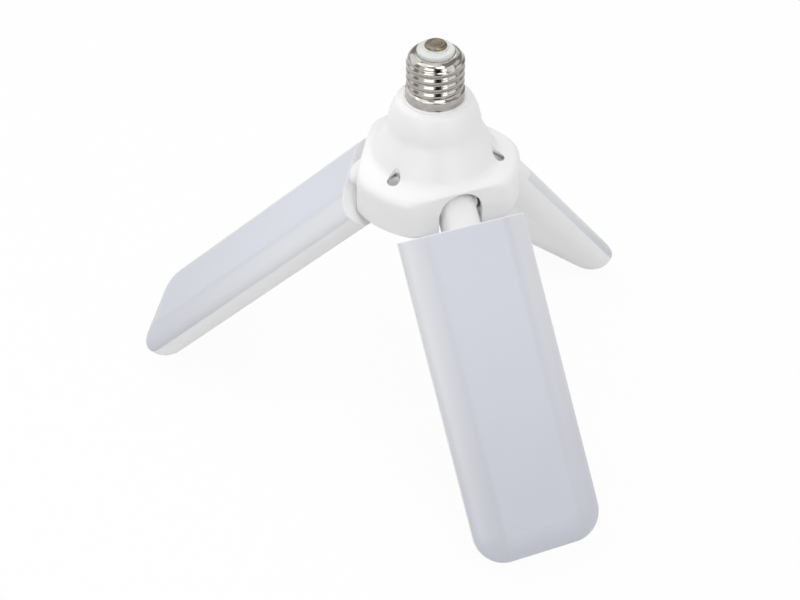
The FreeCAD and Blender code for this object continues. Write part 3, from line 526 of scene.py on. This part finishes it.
class LampLeafSizes(bpy.types.PropertyGroup):
    root: bpy.props.FloatProperty(
        name="Root", description="From the hinge axis to the leaf's end wall",
        default=0.0121, min=0.012, max=0.015, unit="LENGTH", precision=5)
    length: bpy.props.FloatProperty(
        name="Length", description="Length of the leaf",
        default=0.1487, min=0.1, max=0.1487, unit="LENGTH", precision=5)
    half_width: bpy.props.FloatProperty(
        name="Half width", description="Half the leaf's width",
        default=0.0302, min=0.02, max=0.0303, unit="LENGTH", precision=5)
    tip_round: bpy.props.FloatProperty(
        name="Tip rounding", description="Radius of the tip's corners",
        default=0.0143, min=0.0138, max=0.02, unit="LENGTH", precision=5)
    bevel_width: bpy.props.FloatProperty(
        name="Bevel width", description="Width of the cover's curved shoulder",
        default=0.0129, min=0.005, max=0.0135, unit="LENGTH", precision=5)
    cover_rim: bpy.props.FloatProperty(
        name="Cover rim", description="Upright part of the cover's edge",
        default=0.0010, min=0.0005, max=0.003, unit="LENGTH", precision=5)
    cover_height: bpy.props.FloatProperty(
        name="Cover height", description="Height of the cover's flat middle",
        default=0.00775, min=0.004, max=0.00775, unit="LENGTH", precision=5)
    trough_depth: bpy.props.FloatProperty(
        name="Trough depth", description="Depth of the white trough",
        default=0.0117, min=0.006, max=0.0117, unit="LENGTH", precision=5)
    trough_shoulder: bpy.props.FloatProperty(
        name="Trough shoulder", description="Width of the trough's curved side",
        default=0.0134, min=0.005, max=0.0136, unit="LENGTH", precision=5)
    knuckle_radius: bpy.props.FloatProperty(
        name="Knuckle radius", description="Radius of the hinge knuckle",
        default=0.0090, min=0.006, max=0.0090, unit="LENGTH", precision=5)
    knuckle_flat: bpy.props.FloatProperty(
        name="Knuckle flat", description="Height of the flat on the knuckle",
        default=0.0076, min=0.004, max=0.0080, unit="LENGTH", precision=5)
    knuckle_soft: bpy.props.FloatProperty(
        name="Knuckle softness", description="Rounding of the flat's edges",
        default=0.0035, min=0.001, max=0.005, unit="LENGTH", precision=5)


class LampColours(bpy.types.PropertyGroup):
    housing: bpy.props.FloatVectorProperty(
        name="Housing", description="Colour of the white plastic",
        default=(0.86, 0.86, 0.865), min=0.0, max=1.0, subtype="COLOR")
    diffuser: bpy.props.FloatVectorProperty(
        name="Diffuser", description="Colour of the milky covers' middle",
        default=(0.640, 0.657, 0.732), min=0.0, max=1.0, subtype="COLOR")
    diffuser_edge: bpy.props.FloatVectorProperty(
        name="Diffuser edge", description="Colour of the covers' shoulders",
        default=(0.645, 0.652, 0.683), min=0.0, max=1.0, subtype="COLOR")
    nickel: bpy.props.FloatVectorProperty(
        name="Cap metal", description="Colour of the screw cap",
        default=(0.47, 0.445, 0.415), min=0.0, max=1.0, subtype="COLOR")


# ---------------------------------------------------------------- finishes as operators

class LAMP_OT_materials(bpy.types.Operator):
    """Make every finish"""
    bl_idname = "lamp.materials"
    bl_label = "Finishes"

    def execute(self, context):
        make_materials(context.scene.lamp_colours)
        return {"FINISHED"}


class LAMP_OT_nodes(bpy.types.Operator):
    """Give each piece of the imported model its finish"""
    bl_idname = "lamp.nodes"
    bl_label = "Finish of the solids"

    def execute(self, context):
        slots = {part["node"]: part["material_slot"] for part in frame["record"]["subparts"]}
        for node in NODES:
            dress(node, node if node in MATERIALS else slots[node])
        return {"FINISHED"}


# ---------------------------------------------------------------- the screw cap

# The shell's sheet metal, its radii, and its heights from the mouth down.
SHEET = 0.00045
MOUTH, BARREL, SKIRT = 0.0084, 0.0121, 0.01315
CAP_TOP, THREAD_TOP, SHOULDER = -0.00455, -0.0066, -0.0080
FLARE, THREAD_FOOT, SKIRT_TOP = -0.0219, -0.0223, -0.0228


class LAMP_OT_cap_shell(bpy.types.Operator):
    """Make the screw cap's rolled shell: shoulder, thread and staked skirt"""
    bl_idname = "lamp.cap_shell"
    bl_label = "Cap shell"

    def execute(self, context):
        sizes = context.scene.lamp_cap
        bm = bmesh.new()
        spin_profile(bm, self.profile(), sizes.steps)
        for vert in bm.verts:
            radius = math.hypot(vert.co.x, vert.co.y)
            angle = math.atan2(vert.co.y, vert.co.x)
            grow = self.thread(sizes, angle, vert.co.z, radius) - self.stakes(angle, vert.co.z)
            vert.co.xy *= (radius + grow) / radius
        piece_from(bm, "screw_shell", "cap_metal", "hub", "cap_shell", sharp=40.0)
        return {"FINISHED"}

    @staticmethod
    def profile():
        """The sheet's section before the thread is rolled into it, down its outside and up its inside."""
        top = [(MOUTH, CAP_TOP - 0.0002), (MOUTH + 0.0002, CAP_TOP, -0.0037), (BARREL, SHOULDER)]
        flare = [(BARREL, FLARE), (SKIRT - 0.0004, SKIRT_TOP + 0.0003, -0.0005), (SKIRT, SKIRT_TOP - 0.0002)]
        outside = arc_points(top, 0.0003) + arc_points(flare, 0.0002) + [(SKIRT, RIM)]
        inside = [(SKIRT - SHEET, RIM), (SKIRT - SHEET, SKIRT_TOP - SHEET), (BARREL - SHEET, FLARE - SHEET)]
        inside += arc_points([(BARREL - SHEET, SHOULDER, 0.0033), (MOUTH, CAP_TOP - SHEET)], 0.0003)
        return fine(outside, 0.00028) + fine(inside, 0.0006)

    @staticmethod
    def thread(sizes, angle, height, radius):
        """The rolled thread stands out of the barrel and runs out at both ends."""
        if radius > BARREL + 0.00005 or height > THREAD_TOP:
            return 0.0
        foot_run, top_run, first_crest = 0.0010, 0.0016, -0.0078
        ease = ramp(height, THREAD_FOOT, THREAD_FOOT + foot_run) * ramp(THREAD_TOP - height, 0.0, top_run)
        turns = (height - first_crest) / sizes.thread_pitch
        wave = 0.5 + 0.5 * math.cos(2 * math.pi * turns - angle - sizes.thread_turn)
        return sizes.thread_height * wave ** 0.85 * ease

    @staticmethod
    def stakes(angle, height):
        """Depth of the four pairs of small dents punched over the rim."""
        half_width, half_height, place, deepest = 0.0006, 0.0007, RIM + 0.0008, 0.00035
        depth = 0.0
        for azimuth in (-108.5, -101.5):
            for turn in (0, 90, 180, 270):
                away = (angle - math.radians(azimuth + turn) + math.pi) % (2 * math.pi) - math.pi
                spot = math.hypot(away * SKIRT / half_width, (height - place) / half_height)
                depth = max(depth, deepest * math.exp(-spot ** 4))
        return depth


class LAMP_OT_cap_top(bpy.types.Operator):
    """Make the dished contact button and the glass insulator under it"""
    bl_idname = "lamp.cap_top"
    bl_label = "Contact and insulator"

    def execute(self, context):
        dish, lip, seat, stem = -0.0003, -0.00005, -0.0016, 0.0012
        button = [(0.0, dish), (0.0022, dish, 0.0020), (0.0029, lip, -0.0009), (0.0034, lip, -0.0020),
                  (0.0049, seat + 0.0004), (0.0049, seat), (stem, seat), (stem, -0.0086), (0.0, -0.0086)]
        bm = bmesh.new()
        spin_profile(bm, arc_points(button, 0.0001), 96)
        piece_from(bm, "contact_button", "cap_metal", "hub", "centre_contact", material="contact")
        foot = -0.0076
        glass = [(stem, seat), (0.0051, seat, -0.0003), (0.0054, -0.0019), (0.00555, -0.0022, 0.0003),
                 (0.0059, -0.0024), (0.0075, -0.0027, -0.0009), (0.0083, -0.0035), (0.00838, foot),
                 (stem, foot)]
        bm = bmesh.new()
        spin_profile(bm, arc_points(glass, 0.0001), 96)
        piece_from(bm, "glass_insulator", "insulator", "hub", "cap_insulator")
        return {"FINISHED"}


# ---------------------------------------------------------------- the hub's upper housing

HUB_WALL = 0.0022
HUB_RADIUS = 0.0392
WELL_CIRCLE, WELL_RADIUS = 0.029, 0.003
LEAF_SIDES = (0, 120, 240)
WELL_SIDES = (60, 180, 300)


def flatten(vert, distance, width):
    """Draws a vertex of a round skin in to the nearest of three flats; width rounds the flats' edges."""
    azimuth = math.atan2(vert.co.x, -vert.co.y)
    away = (azimuth + math.pi / 3) % (2 * math.pi / 3) - math.pi / 3
    radius = vert.co.xy.length
    vert.co.xy *= soft_limit(radius, distance / math.cos(away), width) / radius


def around_hub(radius, degrees):
    """A place round the cap's axis, degrees from the front."""
    angle = math.radians(degrees)
    return Vector((radius * math.sin(angle), -radius * math.cos(angle), 0.0))


def hub_section(inset=0.0):
    """The hub's half section from the neck down to the flange, moved in by inset. Each point moves about
    square to the skin there, so its shares of the inset follow the skin's slope."""
    return [
        (0.0153 - inset * 0.3, RIM - 0.0008 - inset, -(0.0026 - inset * 0.3)),
        (0.0176 - inset * 0.88, RIM - 0.0022 - inset * 0.47, -(0.0318 - inset)),
        (0.0210 - inset, RIM - 0.0127 - inset * 0.17, 0.0155 + inset),
        (0.0222 - inset * 0.9, RIM - 0.0164 - inset * 0.42),
        (0.0274 - inset * 0.9, RIM - 0.0276 - inset * 0.42, 0.0050 + inset),
        (0.0312 - inset * 0.14, RIM - 0.0304 - inset),
        (0.0356 - inset * 0.14, RIM - 0.0311 - inset, -(0.0040 - inset * 0.6)),
        (HUB_RADIUS - inset, RIM - 0.0349 - inset * 0.3),
    ]


def inside_wall(radius):
    """Height of the middle of the hub's wall at this distance from the axis."""
    line = arc_points(hub_section(HUB_WALL / 2), 0.0005)
    for start, end in zip(line, line[1:]):
        if radius <= end.x:
            return start.lerp(end, max(0.0, (radius - start.x) / (end.x - start.x))).y
    return line[-1].y


def stand_under_dome(bm, profile, place):
    """Spins a post or tube and draws its top up into the dome's wall."""
    before = set(bm.verts)
    spin_profile(bm, profile, 40)
    top = max(height for _, height in profile)
    for vert in set(bm.verts) - before:
        high = vert.co.z > top - 1e-6
        vert.co += place
        if high:
            vert.co.z = inside_wall(vert.co.xy.length)


class LAMP_OT_upper_housing(bpy.types.Operator):
    """Make the hub's upper moulding with soft flats, arched slots and deep screw wells"""
    bl_idname = "lamp.upper_housing"
    bl_label = "Upper housing"

    def execute(self, context):
        sizes = context.scene.lamp_hub
        bm = carve(self.wall(sizes), self.openings())
        self.fittings(bm)
        bmesh.ops.recalc_face_normals(bm, faces=bm.faces)
        piece_from(bm, "dome_housing", "housing", "hub", "upper_housing", sharp=32.0)
        return {"FINISHED"}

    @staticmethod
    def wall(sizes):
        """The moulding's wall, whose outer and inner skins each have their flats."""
        low, bore, spigot, foot = RIM - 0.0509, 0.0111, 0.0128, sizes.foot_round
        outside = [(bore, RIM + 0.0036), (spigot, RIM + 0.0036), (spigot, RIM), (0.0142, RIM, -0.0002),
                   (0.0144, RIM - 0.0002), (0.0144, RIM - 0.0008), *hub_section(),
                   (HUB_RADIUS, low + foot, -foot), (HUB_RADIUS - foot, low)]
        inside = [(bore, RIM - 0.0008 - HUB_WALL), *hub_section(HUB_WALL), (HUB_RADIUS - HUB_WALL, low)]
        outside, inside = (fine(arc_points(path, 0.0008), 0.0016) for path in (outside, inside))
        bm = bmesh.new()
        spin_profile(bm, outside + inside[::-1], sizes.steps)
        inner = {(round(point.x, 6), round(point.y, 6)) for point in inside}
        flats_top, crest_foot, crest_top = RIM - 0.02, RIM - 0.036, RIM - 0.032
        for vert in bm.verts:
            if vert.co.z < flats_top:
                depth = HUB_WALL if (round(vert.co.xy.length, 6), round(vert.co.z, 6)) in inner else 0.0
                crest = ramp(vert.co.z + depth, crest_foot, crest_top)
                flatten(vert, sizes.flat_distance - depth, sizes.soft_edge + sizes.crest_round * crest)
        return bm

    @staticmethod
    def openings():
        """Three arched slots for the knuckles, and the mouths of three screw wells."""
        half, centre, foot, back, depth = 0.01035, RIM - 0.0423, RIM - 0.053, -0.0286, 0.008
        arch = [(-half, foot), (half, foot), *half_circle((0.0, centre), half, 40)]
        bm = bmesh.new()
        for degrees in LEAF_SIDES:
            slab(bm, [(x, back, z) for x, z in arch], (0.0, -depth, 0.0), turned(degrees))
        for degrees in WELL_SIDES:
            place = Matrix.Translation(around_hub(WELL_CIRCLE, degrees))
            cylinder(bm, WELL_RADIUS, (RIM - 0.039, RIM), place, 40)
        return bm

    @staticmethod
    def fittings(bm):
        """Well tubes, driver posts and the upper halves of the hinge seats."""
        floor, foot, screw, tube = RIM - 0.040, RIM - 0.042, 0.00145, 0.0046
        well = [(screw, foot), (tube, foot), (tube, RIM), (WELL_RADIUS, RIM), (WELL_RADIUS, floor),
                (screw, floor)]
        for degrees in WELL_SIDES:
            stand_under_dome(bm, well, around_hub(WELL_CIRCLE, degrees))
        post_foot, post_radius, post_circle = RIM - 0.0284, 0.0026, 0.017
        post = [(0.0, post_foot), (post_radius, post_foot), (post_radius, RIM), (0.0, RIM)]
        for degrees in (30, 210):
            stand_under_dome(bm, post, around_hub(post_circle, degrees))
        seat_radius, outer, inner = 0.00305, -0.0315, -0.0195
        seat = half_circle((-HINGE_RADIUS, HINGE_HEIGHT), seat_radius, 16)
        seat += [(outer, HINGE_HEIGHT), (outer, RIM - 0.0332), (-0.0275, RIM - 0.0312),
                 (inner, RIM - 0.0365), (inner, HINGE_HEIGHT)]
        thickness, seat_inner = 0.003, 0.0106
        for degrees in LEAF_SIDES:
            for start in (seat_inner, -seat_inner - thickness):
                slab(bm, [(start, y, z) for y, z in seat], (thickness, 0.0, 0.0), turned(degrees))


# ---------------------------------------------------------------- the leaves, each in its own frame

# The gap between cover and trough, and their walls.
SEAM = 0.00006
COVER_WALL = 0.0015
TROUGH_WALL = 0.0018


def shrink(bm, face, steps, upwards):
    """Draws a flat face in by steps of (inset, depth), which leaves the sloping walls behind it."""
    for inset, depth in steps:
        if inset < 1e-7:
            moved = bmesh.ops.extrude_discrete_faces(bm, faces=[face])["faces"][0]
            bmesh.ops.translate(bm, verts=moved.verts, vec=(0.0, 0.0, depth * upwards))
            face = moved
        else:
            bmesh.ops.inset_region(bm, faces=[face], thickness=inset, depth=depth, use_even_offset=True,
                                   use_boundary=True)


def leaf_blank(bm, sizes, height, upwards):
    """The leaf's flat outline, drawn twice as long, so that a cut at the root leaves that edge straight."""
    side, tip, root = sizes.half_width, sizes.root + sizes.length, sizes.root
    corners = [(-side, 2 * root - tip), (side, 2 * root - tip), (side, tip), (-side, tip)]
    if upwards < 0:
        corners.reverse()
    verts = [bm.verts.new((x, y, height)) for x, y in corners]
    bm.faces.new(verts)
    bmesh.ops.bevel(bm, geom=verts, offset=sizes.tip_round, segments=20, affect="VERTICES", profile=0.5,
                    material=-1)
    bm.faces.ensure_lookup_table()
    return bm.faces[0]


def quarter(shoulder, depth, last, count):
    """Steps of (inset, depth) down a quarter ellipse, as far as the angle last."""
    turns = [math.radians(last) * part / count for part in range(count + 1)]
    spots = [(shoulder * (1 - math.cos(turn)), depth * math.sin(turn)) for turn in turns]
    return [(b[0] - a[0], b[1] - a[1]) for a, b in zip(spots, spots[1:])]


def crown(sizes):
    """The diffuser's bevel: an ellipse that stops at a faint crease against the flat middle."""
    last = 65.0
    shoulder = sizes.bevel_width / (1 - math.cos(math.radians(last)))
    depth = (sizes.cover_height - sizes.cover_rim) / math.sin(math.radians(last))
    return quarter(shoulder, depth, last, 18)


def close_root(bm, start):
    """Cuts the blank at the root and closes the cut."""
    geom = bm.verts[:] + bm.edges[:] + bm.faces[:]
    cut = bmesh.ops.bisect_plane(bm, geom=geom, plane_co=(0.0, start, 0.0), plane_no=(0.0, -1.0, 0.0),
                                 clear_outer=True, dist=1e-7)["geom_cut"]
    edges = [item for item in cut if isinstance(item, bmesh.types.BMEdge)]
    ends = [vert for vert in {v for edge in edges for v in edge.verts}
            if sum(edge in edges for edge in vert.link_edges) == 1]
    if len(ends) == 2:
        edges.append(bm.edges.new(ends))
    bmesh.ops.holes_fill(bm, edges=edges, sides=0)


def thicken(bm, wall):
    """Gives a closed-ended skin its wall."""
    bmesh.ops.recalc_face_normals(bm, faces=bm.faces)
    bmesh.ops.solidify(bm, geom=bm.faces[:], thickness=wall)
    bmesh.ops.recalc_face_normals(bm, faces=bm.faces)


class LAMP_OT_diffusers(bpy.types.Operator):
    """Make the three milky covers"""
    bl_idname = "lamp.diffusers"
    bl_label = "Diffusers"

    def execute(self, context):
        sizes = context.scene.lamp_leaf
        for name in LEAVES:
            bm = bmesh.new()
            face = leaf_blank(bm, sizes, SEAM, 1)
            shrink(bm, face, [(0.0, sizes.cover_rim - SEAM)] + crown(sizes), 1)
            close_root(bm, sizes.root)
            thicken(bm, COVER_WALL)
            creases = [edge for edge in bm.edges
                       if all(abs(vert.co.z - sizes.cover_height) < 1e-6 for vert in edge.verts)]
            bmesh.ops.transform(bm, matrix=leaf_place(name), verts=bm.verts)
            piece_from(bm, f"{name}_milky_cover", "diffuser", f"{name}_leaf", f"{name}_diffuser",
                       material=f"{name}_diffuser", creases=creases)
        return {"FINISHED"}


class LAMP_OT_leaf_housings(bpy.types.Operator):
    """Make the three white troughs with their end walls and hinge knuckles"""
    bl_idname = "lamp.leaf_housings"
    bl_label = "Leaf housings"

    def execute(self, context):
        sizes = context.scene.lamp_leaf
        for name in LEAVES:
            bm = bmesh.new()
            self.trough(bm, sizes)
            self.end_wall(bm, sizes)
            add_shape(bm, self.knuckle(sizes))
            bmesh.ops.transform(bm, matrix=leaf_place(name), verts=bm.verts)
            piece_from(bm, f"{name}_trough", "housing", f"{name}_leaf", f"{name}_leaf_housing", sharp=32.0)
        return {"FINISHED"}

    @staticmethod
    def trough(bm, sizes):
        face = leaf_blank(bm, sizes, 0.0, -1)
        shrink(bm, face, quarter(sizes.trough_shoulder, sizes.trough_depth, 90.0, 22), -1)
        close_root(bm, sizes.root)
        thicken(bm, TROUGH_WALL)

    @staticmethod
    def end_wall(bm, sizes):
        """The wall's upper half fills the cover's own section, just clear of its inside."""
        inset, rise, clear = 0.0, sizes.cover_rim, COVER_WALL + 0.00005
        flank = [(sizes.half_width, -0.001), (sizes.half_width, rise)]
        for step in crown(sizes):
            inset, rise = inset + step[0], rise + step[1]
            flank.append((sizes.half_width - inset, rise))
        narrow, low = 1 - clear / sizes.half_width, 1 - clear / sizes.cover_height
        outline = [(x * narrow, z * low) for x, z in flank]
        outline += [(-x, z) for x, z in reversed(outline)]
        slab(bm, [(x, sizes.root + 0.00005, z) for x, z in outline], (0.0, TROUGH_WALL, 0.0))

    @staticmethod
    def knuckle(sizes):
        """Bullet-shaped knuckle with a flat on top and a slot for the leads, and on each side a trunnion with
        its collar."""
        radius, root = sizes.knuckle_radius, sizes.root + TROUGH_WALL / 2
        bm = bmesh.new()
        path = [(0.0, root), (radius, root), (radius, 0.0, -radius), (0.0, -radius)]
        spin_profile(bm, fine(arc_points(path, 0.0005), 0.002), 96)
        bmesh.ops.rotate(bm, verts=bm.verts, matrix=Matrix.Rotation(math.radians(-90), 3, "X"))
        for vert in bm.verts:
            vert.co.z = soft_limit(vert.co.z, sizes.knuckle_flat, sizes.knuckle_soft)
        slot = bmesh.new()
        side, high, back, end = 0.0034, 0.0022, -0.010, sizes.root + 0.003
        outline = [(back, back), (high, back), (high, -high), (end, -high), (end, high), (back, high)]
        slab(slot, [(-side, y, z) for y, z in outline], (2 * side, 0.0, 0.0))
        bm = carve(bm, slot)
        across = Matrix.Rotation(math.radians(90), 4, "Y")
        start, trunnion, collar = 0.0045, (0.0030, 0.0134), (0.0048, 0.0091)
        for way in (1, -1):
            for pin_radius, reach in (trunnion, collar):
                cylinder(bm, pin_radius, (way * start, way * reach), across)
        return bm


# ---------------------------------------------------------------- the stage

# What the lights face, and how far the floor lies below the leaves at rest.
AIM = Vector((0.0, 0.0, -0.09))
FLOOR_GAP = 0.0005

# Softboxes: name, azimuth from the front and height in degrees, distance and size in metres, watts.
SOFTBOXES = (
    ("overhead", -90.0, 84.0, 0.94, 0.6, 1.1),
    ("over_left", -90.0, 55.0, 1.0, 0.6, 1.5),
    ("over_back", 160.0, 55.0, 1.0, 0.6, 1.0),
    ("over_front", 3.0, 53.0, 1.35, 0.6, 4.7),
    ("front_low", 12.0, 20.0, 1.35, 0.6, 0.3),
    ("front_right", 42.0, 25.0, 1.35, 0.7, 1.8),
    ("left", -75.0, 15.0, 1.35, 0.7, 1.0),
    ("right", 80.0, 25.0, 1.35, 0.7, 1.1),
    ("back_right", 140.0, 30.0, 1.35, 0.7, 1.0),
    ("back_left", -140.0, 32.0, 1.35, 1.4, 6.2),
)
WORLD_STRENGTH = 0.362

# Cards: name, azimuths and heights in degrees, strength.
CARD_DISTANCE = 1.6
CARDS = (
    ("card_left", (-66.0, -30.0), (8.0, 40.0), 2.6),
    ("card_dark", (-24.0, -2.0), (-25.0, 55.0), 0.0),
    ("card_right", (4.0, 22.0), (0.0, 26.0), 2.6),
    ("card_high", (-75.0, -30.0), (62.0, 80.0), 1.6),
)

# The camera: lens and film in millimetres, its place, its tilt up from straight down and its turn in degrees.
LENS, FILM = 69.69, 36.0
CAMERA_PLACE = (-0.2202, -0.5250, 0.3551)
CAMERA_TILT, CAMERA_TURN = 48.59, -21.21


def studio_place(azimuth, height, distance):
    """From the aim to a light or card: azimuth from the front and height above level, in degrees."""
    azimuth, height = math.radians(azimuth), math.radians(height)
    return distance * Vector((math.cos(height) * math.sin(azimuth), -math.cos(height) * math.cos(azimuth),
                              math.sin(height)))


def floor_white():
    """Nearly white to the camera, half so in reflections, and clear from below. The rest of it is lit and
    takes the lamp's shadow."""
    finish = Finish("floor_white", Roughness=0.9, Specular_IOR_Level=0.1)
    fleck = finish.noise(40.0, 2.0)
    finish.set("Base Color", finish.mix(fleck, (0.86, 0.86, 0.86, 1.0), (0.88, 0.88, 0.88, 1.0)))
    lit = Value(finish, finish.shader.outputs[0])
    white = finish.node("ShaderNodeEmission", {}, {"Color": (1.0, 1.0, 1.0, 1.0), "Strength": 1.0})
    seen = finish.node("ShaderNodeLightPath", {}, {}, "Is Camera Ray")
    mirrored = finish.node("ShaderNodeLightPath", {}, {}, "Is Glossy Ray")
    above = finish.node("ShaderNodeMixShader", {}, {0: seen * 0.94 + mirrored * 0.5, 1: lit, 2: white})
    under = finish.node("ShaderNodeNewGeometry", {}, {}, "Backfacing")
    clear = finish.node("ShaderNodeBsdfTransparent", {}, {})
    finish.show(finish.node("ShaderNodeMixShader", {}, {0: under, 1: above, 2: clear}))
    return finish.material


def make_card(name, azimuths, heights, strength):
    """A bent card round the lamp that shows in shiny surfaces only."""
    bm = bmesh.new()
    columns = []
    count = 12
    for part in range(count + 1):
        azimuth = azimuths[0] + (azimuths[1] - azimuths[0]) * part / count
        places = [AIM + studio_place(azimuth, height, CARD_DISTANCE) for height in heights]
        columns.append([bm.verts.new(place) for place in places])
    for left, right in zip(columns, columns[1:]):
        bm.faces.new((left[0], right[0], right[1], left[1]))
    card = mesh_object(bm, name)
    finish = Finish(f"{name}_light", Roughness=1.0)
    finish.show(finish.node("ShaderNodeEmission", {}, {"Strength": strength}))
    card.data.materials.append(finish.material)
    card.visible_camera = card.visible_diffuse = card.visible_shadow = False


def make_softbox(name, azimuth, height, distance, size, energy):
    lamp = bpy.data.lights.new(name, "AREA")
    lamp.size = size
    lamp.energy = energy
    holder = bpy.data.objects.new(name, lamp)
    holder.location = AIM + studio_place(azimuth, height, distance)
    holder.rotation_euler = (AIM - holder.location).to_track_quat("-Z", "Y").to_euler()
    holder.visible_camera = False
    bpy.context.scene.collection.objects.link(holder)


class LAMP_OT_stage(bpy.types.Operator):
    """Make the floor, the studio light and the camera"""
    bl_idname = "lamp.stage"
    bl_label = "Stage"

    def execute(self, context):
        scene = context.scene
        scene.view_settings.view_transform = "Standard"
        self.floor()
        world = bpy.data.worlds.new("studio")
        world.use_nodes = True
        background = world.node_tree.nodes["Background"]
        background.inputs["Color"].default_value = (1.0, 1.0, 1.0, 1.0)
        background.inputs["Strength"].default_value = WORLD_STRENGTH
        scene.world = world
        for softbox in SOFTBOXES:
            make_softbox(*softbox)
        for card in CARDS:
            make_card(*card)
        self.camera(scene)
        return {"FINISHED"}

    @staticmethod
    def floor():
        bm = bmesh.new()
        bmesh.ops.create_grid(bm, x_segments=2, y_segments=2, size=6.0)
        bmesh.ops.translate(bm, verts=bm.verts, vec=(0.0, 0.0, CAD_BOX[0][2] - FLOOR_GAP))
        floor = mesh_object(bm, "floor")
        floor.data.materials.append(floor_white())

    @staticmethod
    def camera(scene):
        lens = bpy.data.cameras.new("camera")
        lens.lens = LENS
        lens.sensor_width = FILM
        camera = bpy.data.objects.new("camera", lens)
        camera.location = CAMERA_PLACE
        camera.rotation_euler = (math.radians(CAMERA_TILT), 0.0, math.radians(CAMERA_TURN))
        scene.collection.objects.link(camera)
        scene.camera = camera


# ---------------------------------------------------------------- panel and registration

GROUPS = {"lamp_cap": LampCapSizes, "lamp_hub": LampHubSizes, "lamp_leaf": LampLeafSizes,
          "lamp_colours": LampColours}
OPERATORS = (LAMP_OT_materials, LAMP_OT_nodes, LAMP_OT_cap_shell, LAMP_OT_cap_top, LAMP_OT_upper_housing,
             LAMP_OT_diffusers, LAMP_OT_leaf_housings, LAMP_OT_stage)


class LAMP_PT_pieces(bpy.types.Panel):
    """Lists the sizes, colours and pieces in the sidebar"""
    bl_label = "Folding leaf lamp"
    bl_idname = "LAMP_PT_pieces"
    bl_space_type = "VIEW_3D"
    bl_region_type = "UI"
    bl_category = "Lamp"

    def draw(self, context):
        for name in GROUPS:
            group = getattr(context.scene, name)
            for key in group.__annotations__:
                self.layout.prop(group, key)
        for operator in OPERATORS:
            self.layout.operator(operator.bl_idname)


def register():
    for group in GROUPS.values():
        bpy.utils.register_class(group)
    for key, group in GROUPS.items():
        setattr(bpy.types.Scene, key, bpy.props.PointerProperty(type=group))
    for item in (*OPERATORS, LAMP_PT_pieces):
        bpy.utils.register_class(item)


def unregister():
    for item in (LAMP_PT_pieces, *reversed(OPERATORS)):
        bpy.utils.unregister_class(item)
    for key in GROUPS:
        delattr(bpy.types.Scene, key)
    for group in reversed(list(GROUPS.values())):
        bpy.utils.unregister_class(group)


def main():
    register()
    for operator in OPERATORS:
        category, name = operator.bl_idname.split(".")
        getattr(getattr(bpy.ops, category), name)()


if __name__ == "__main__":
    main()
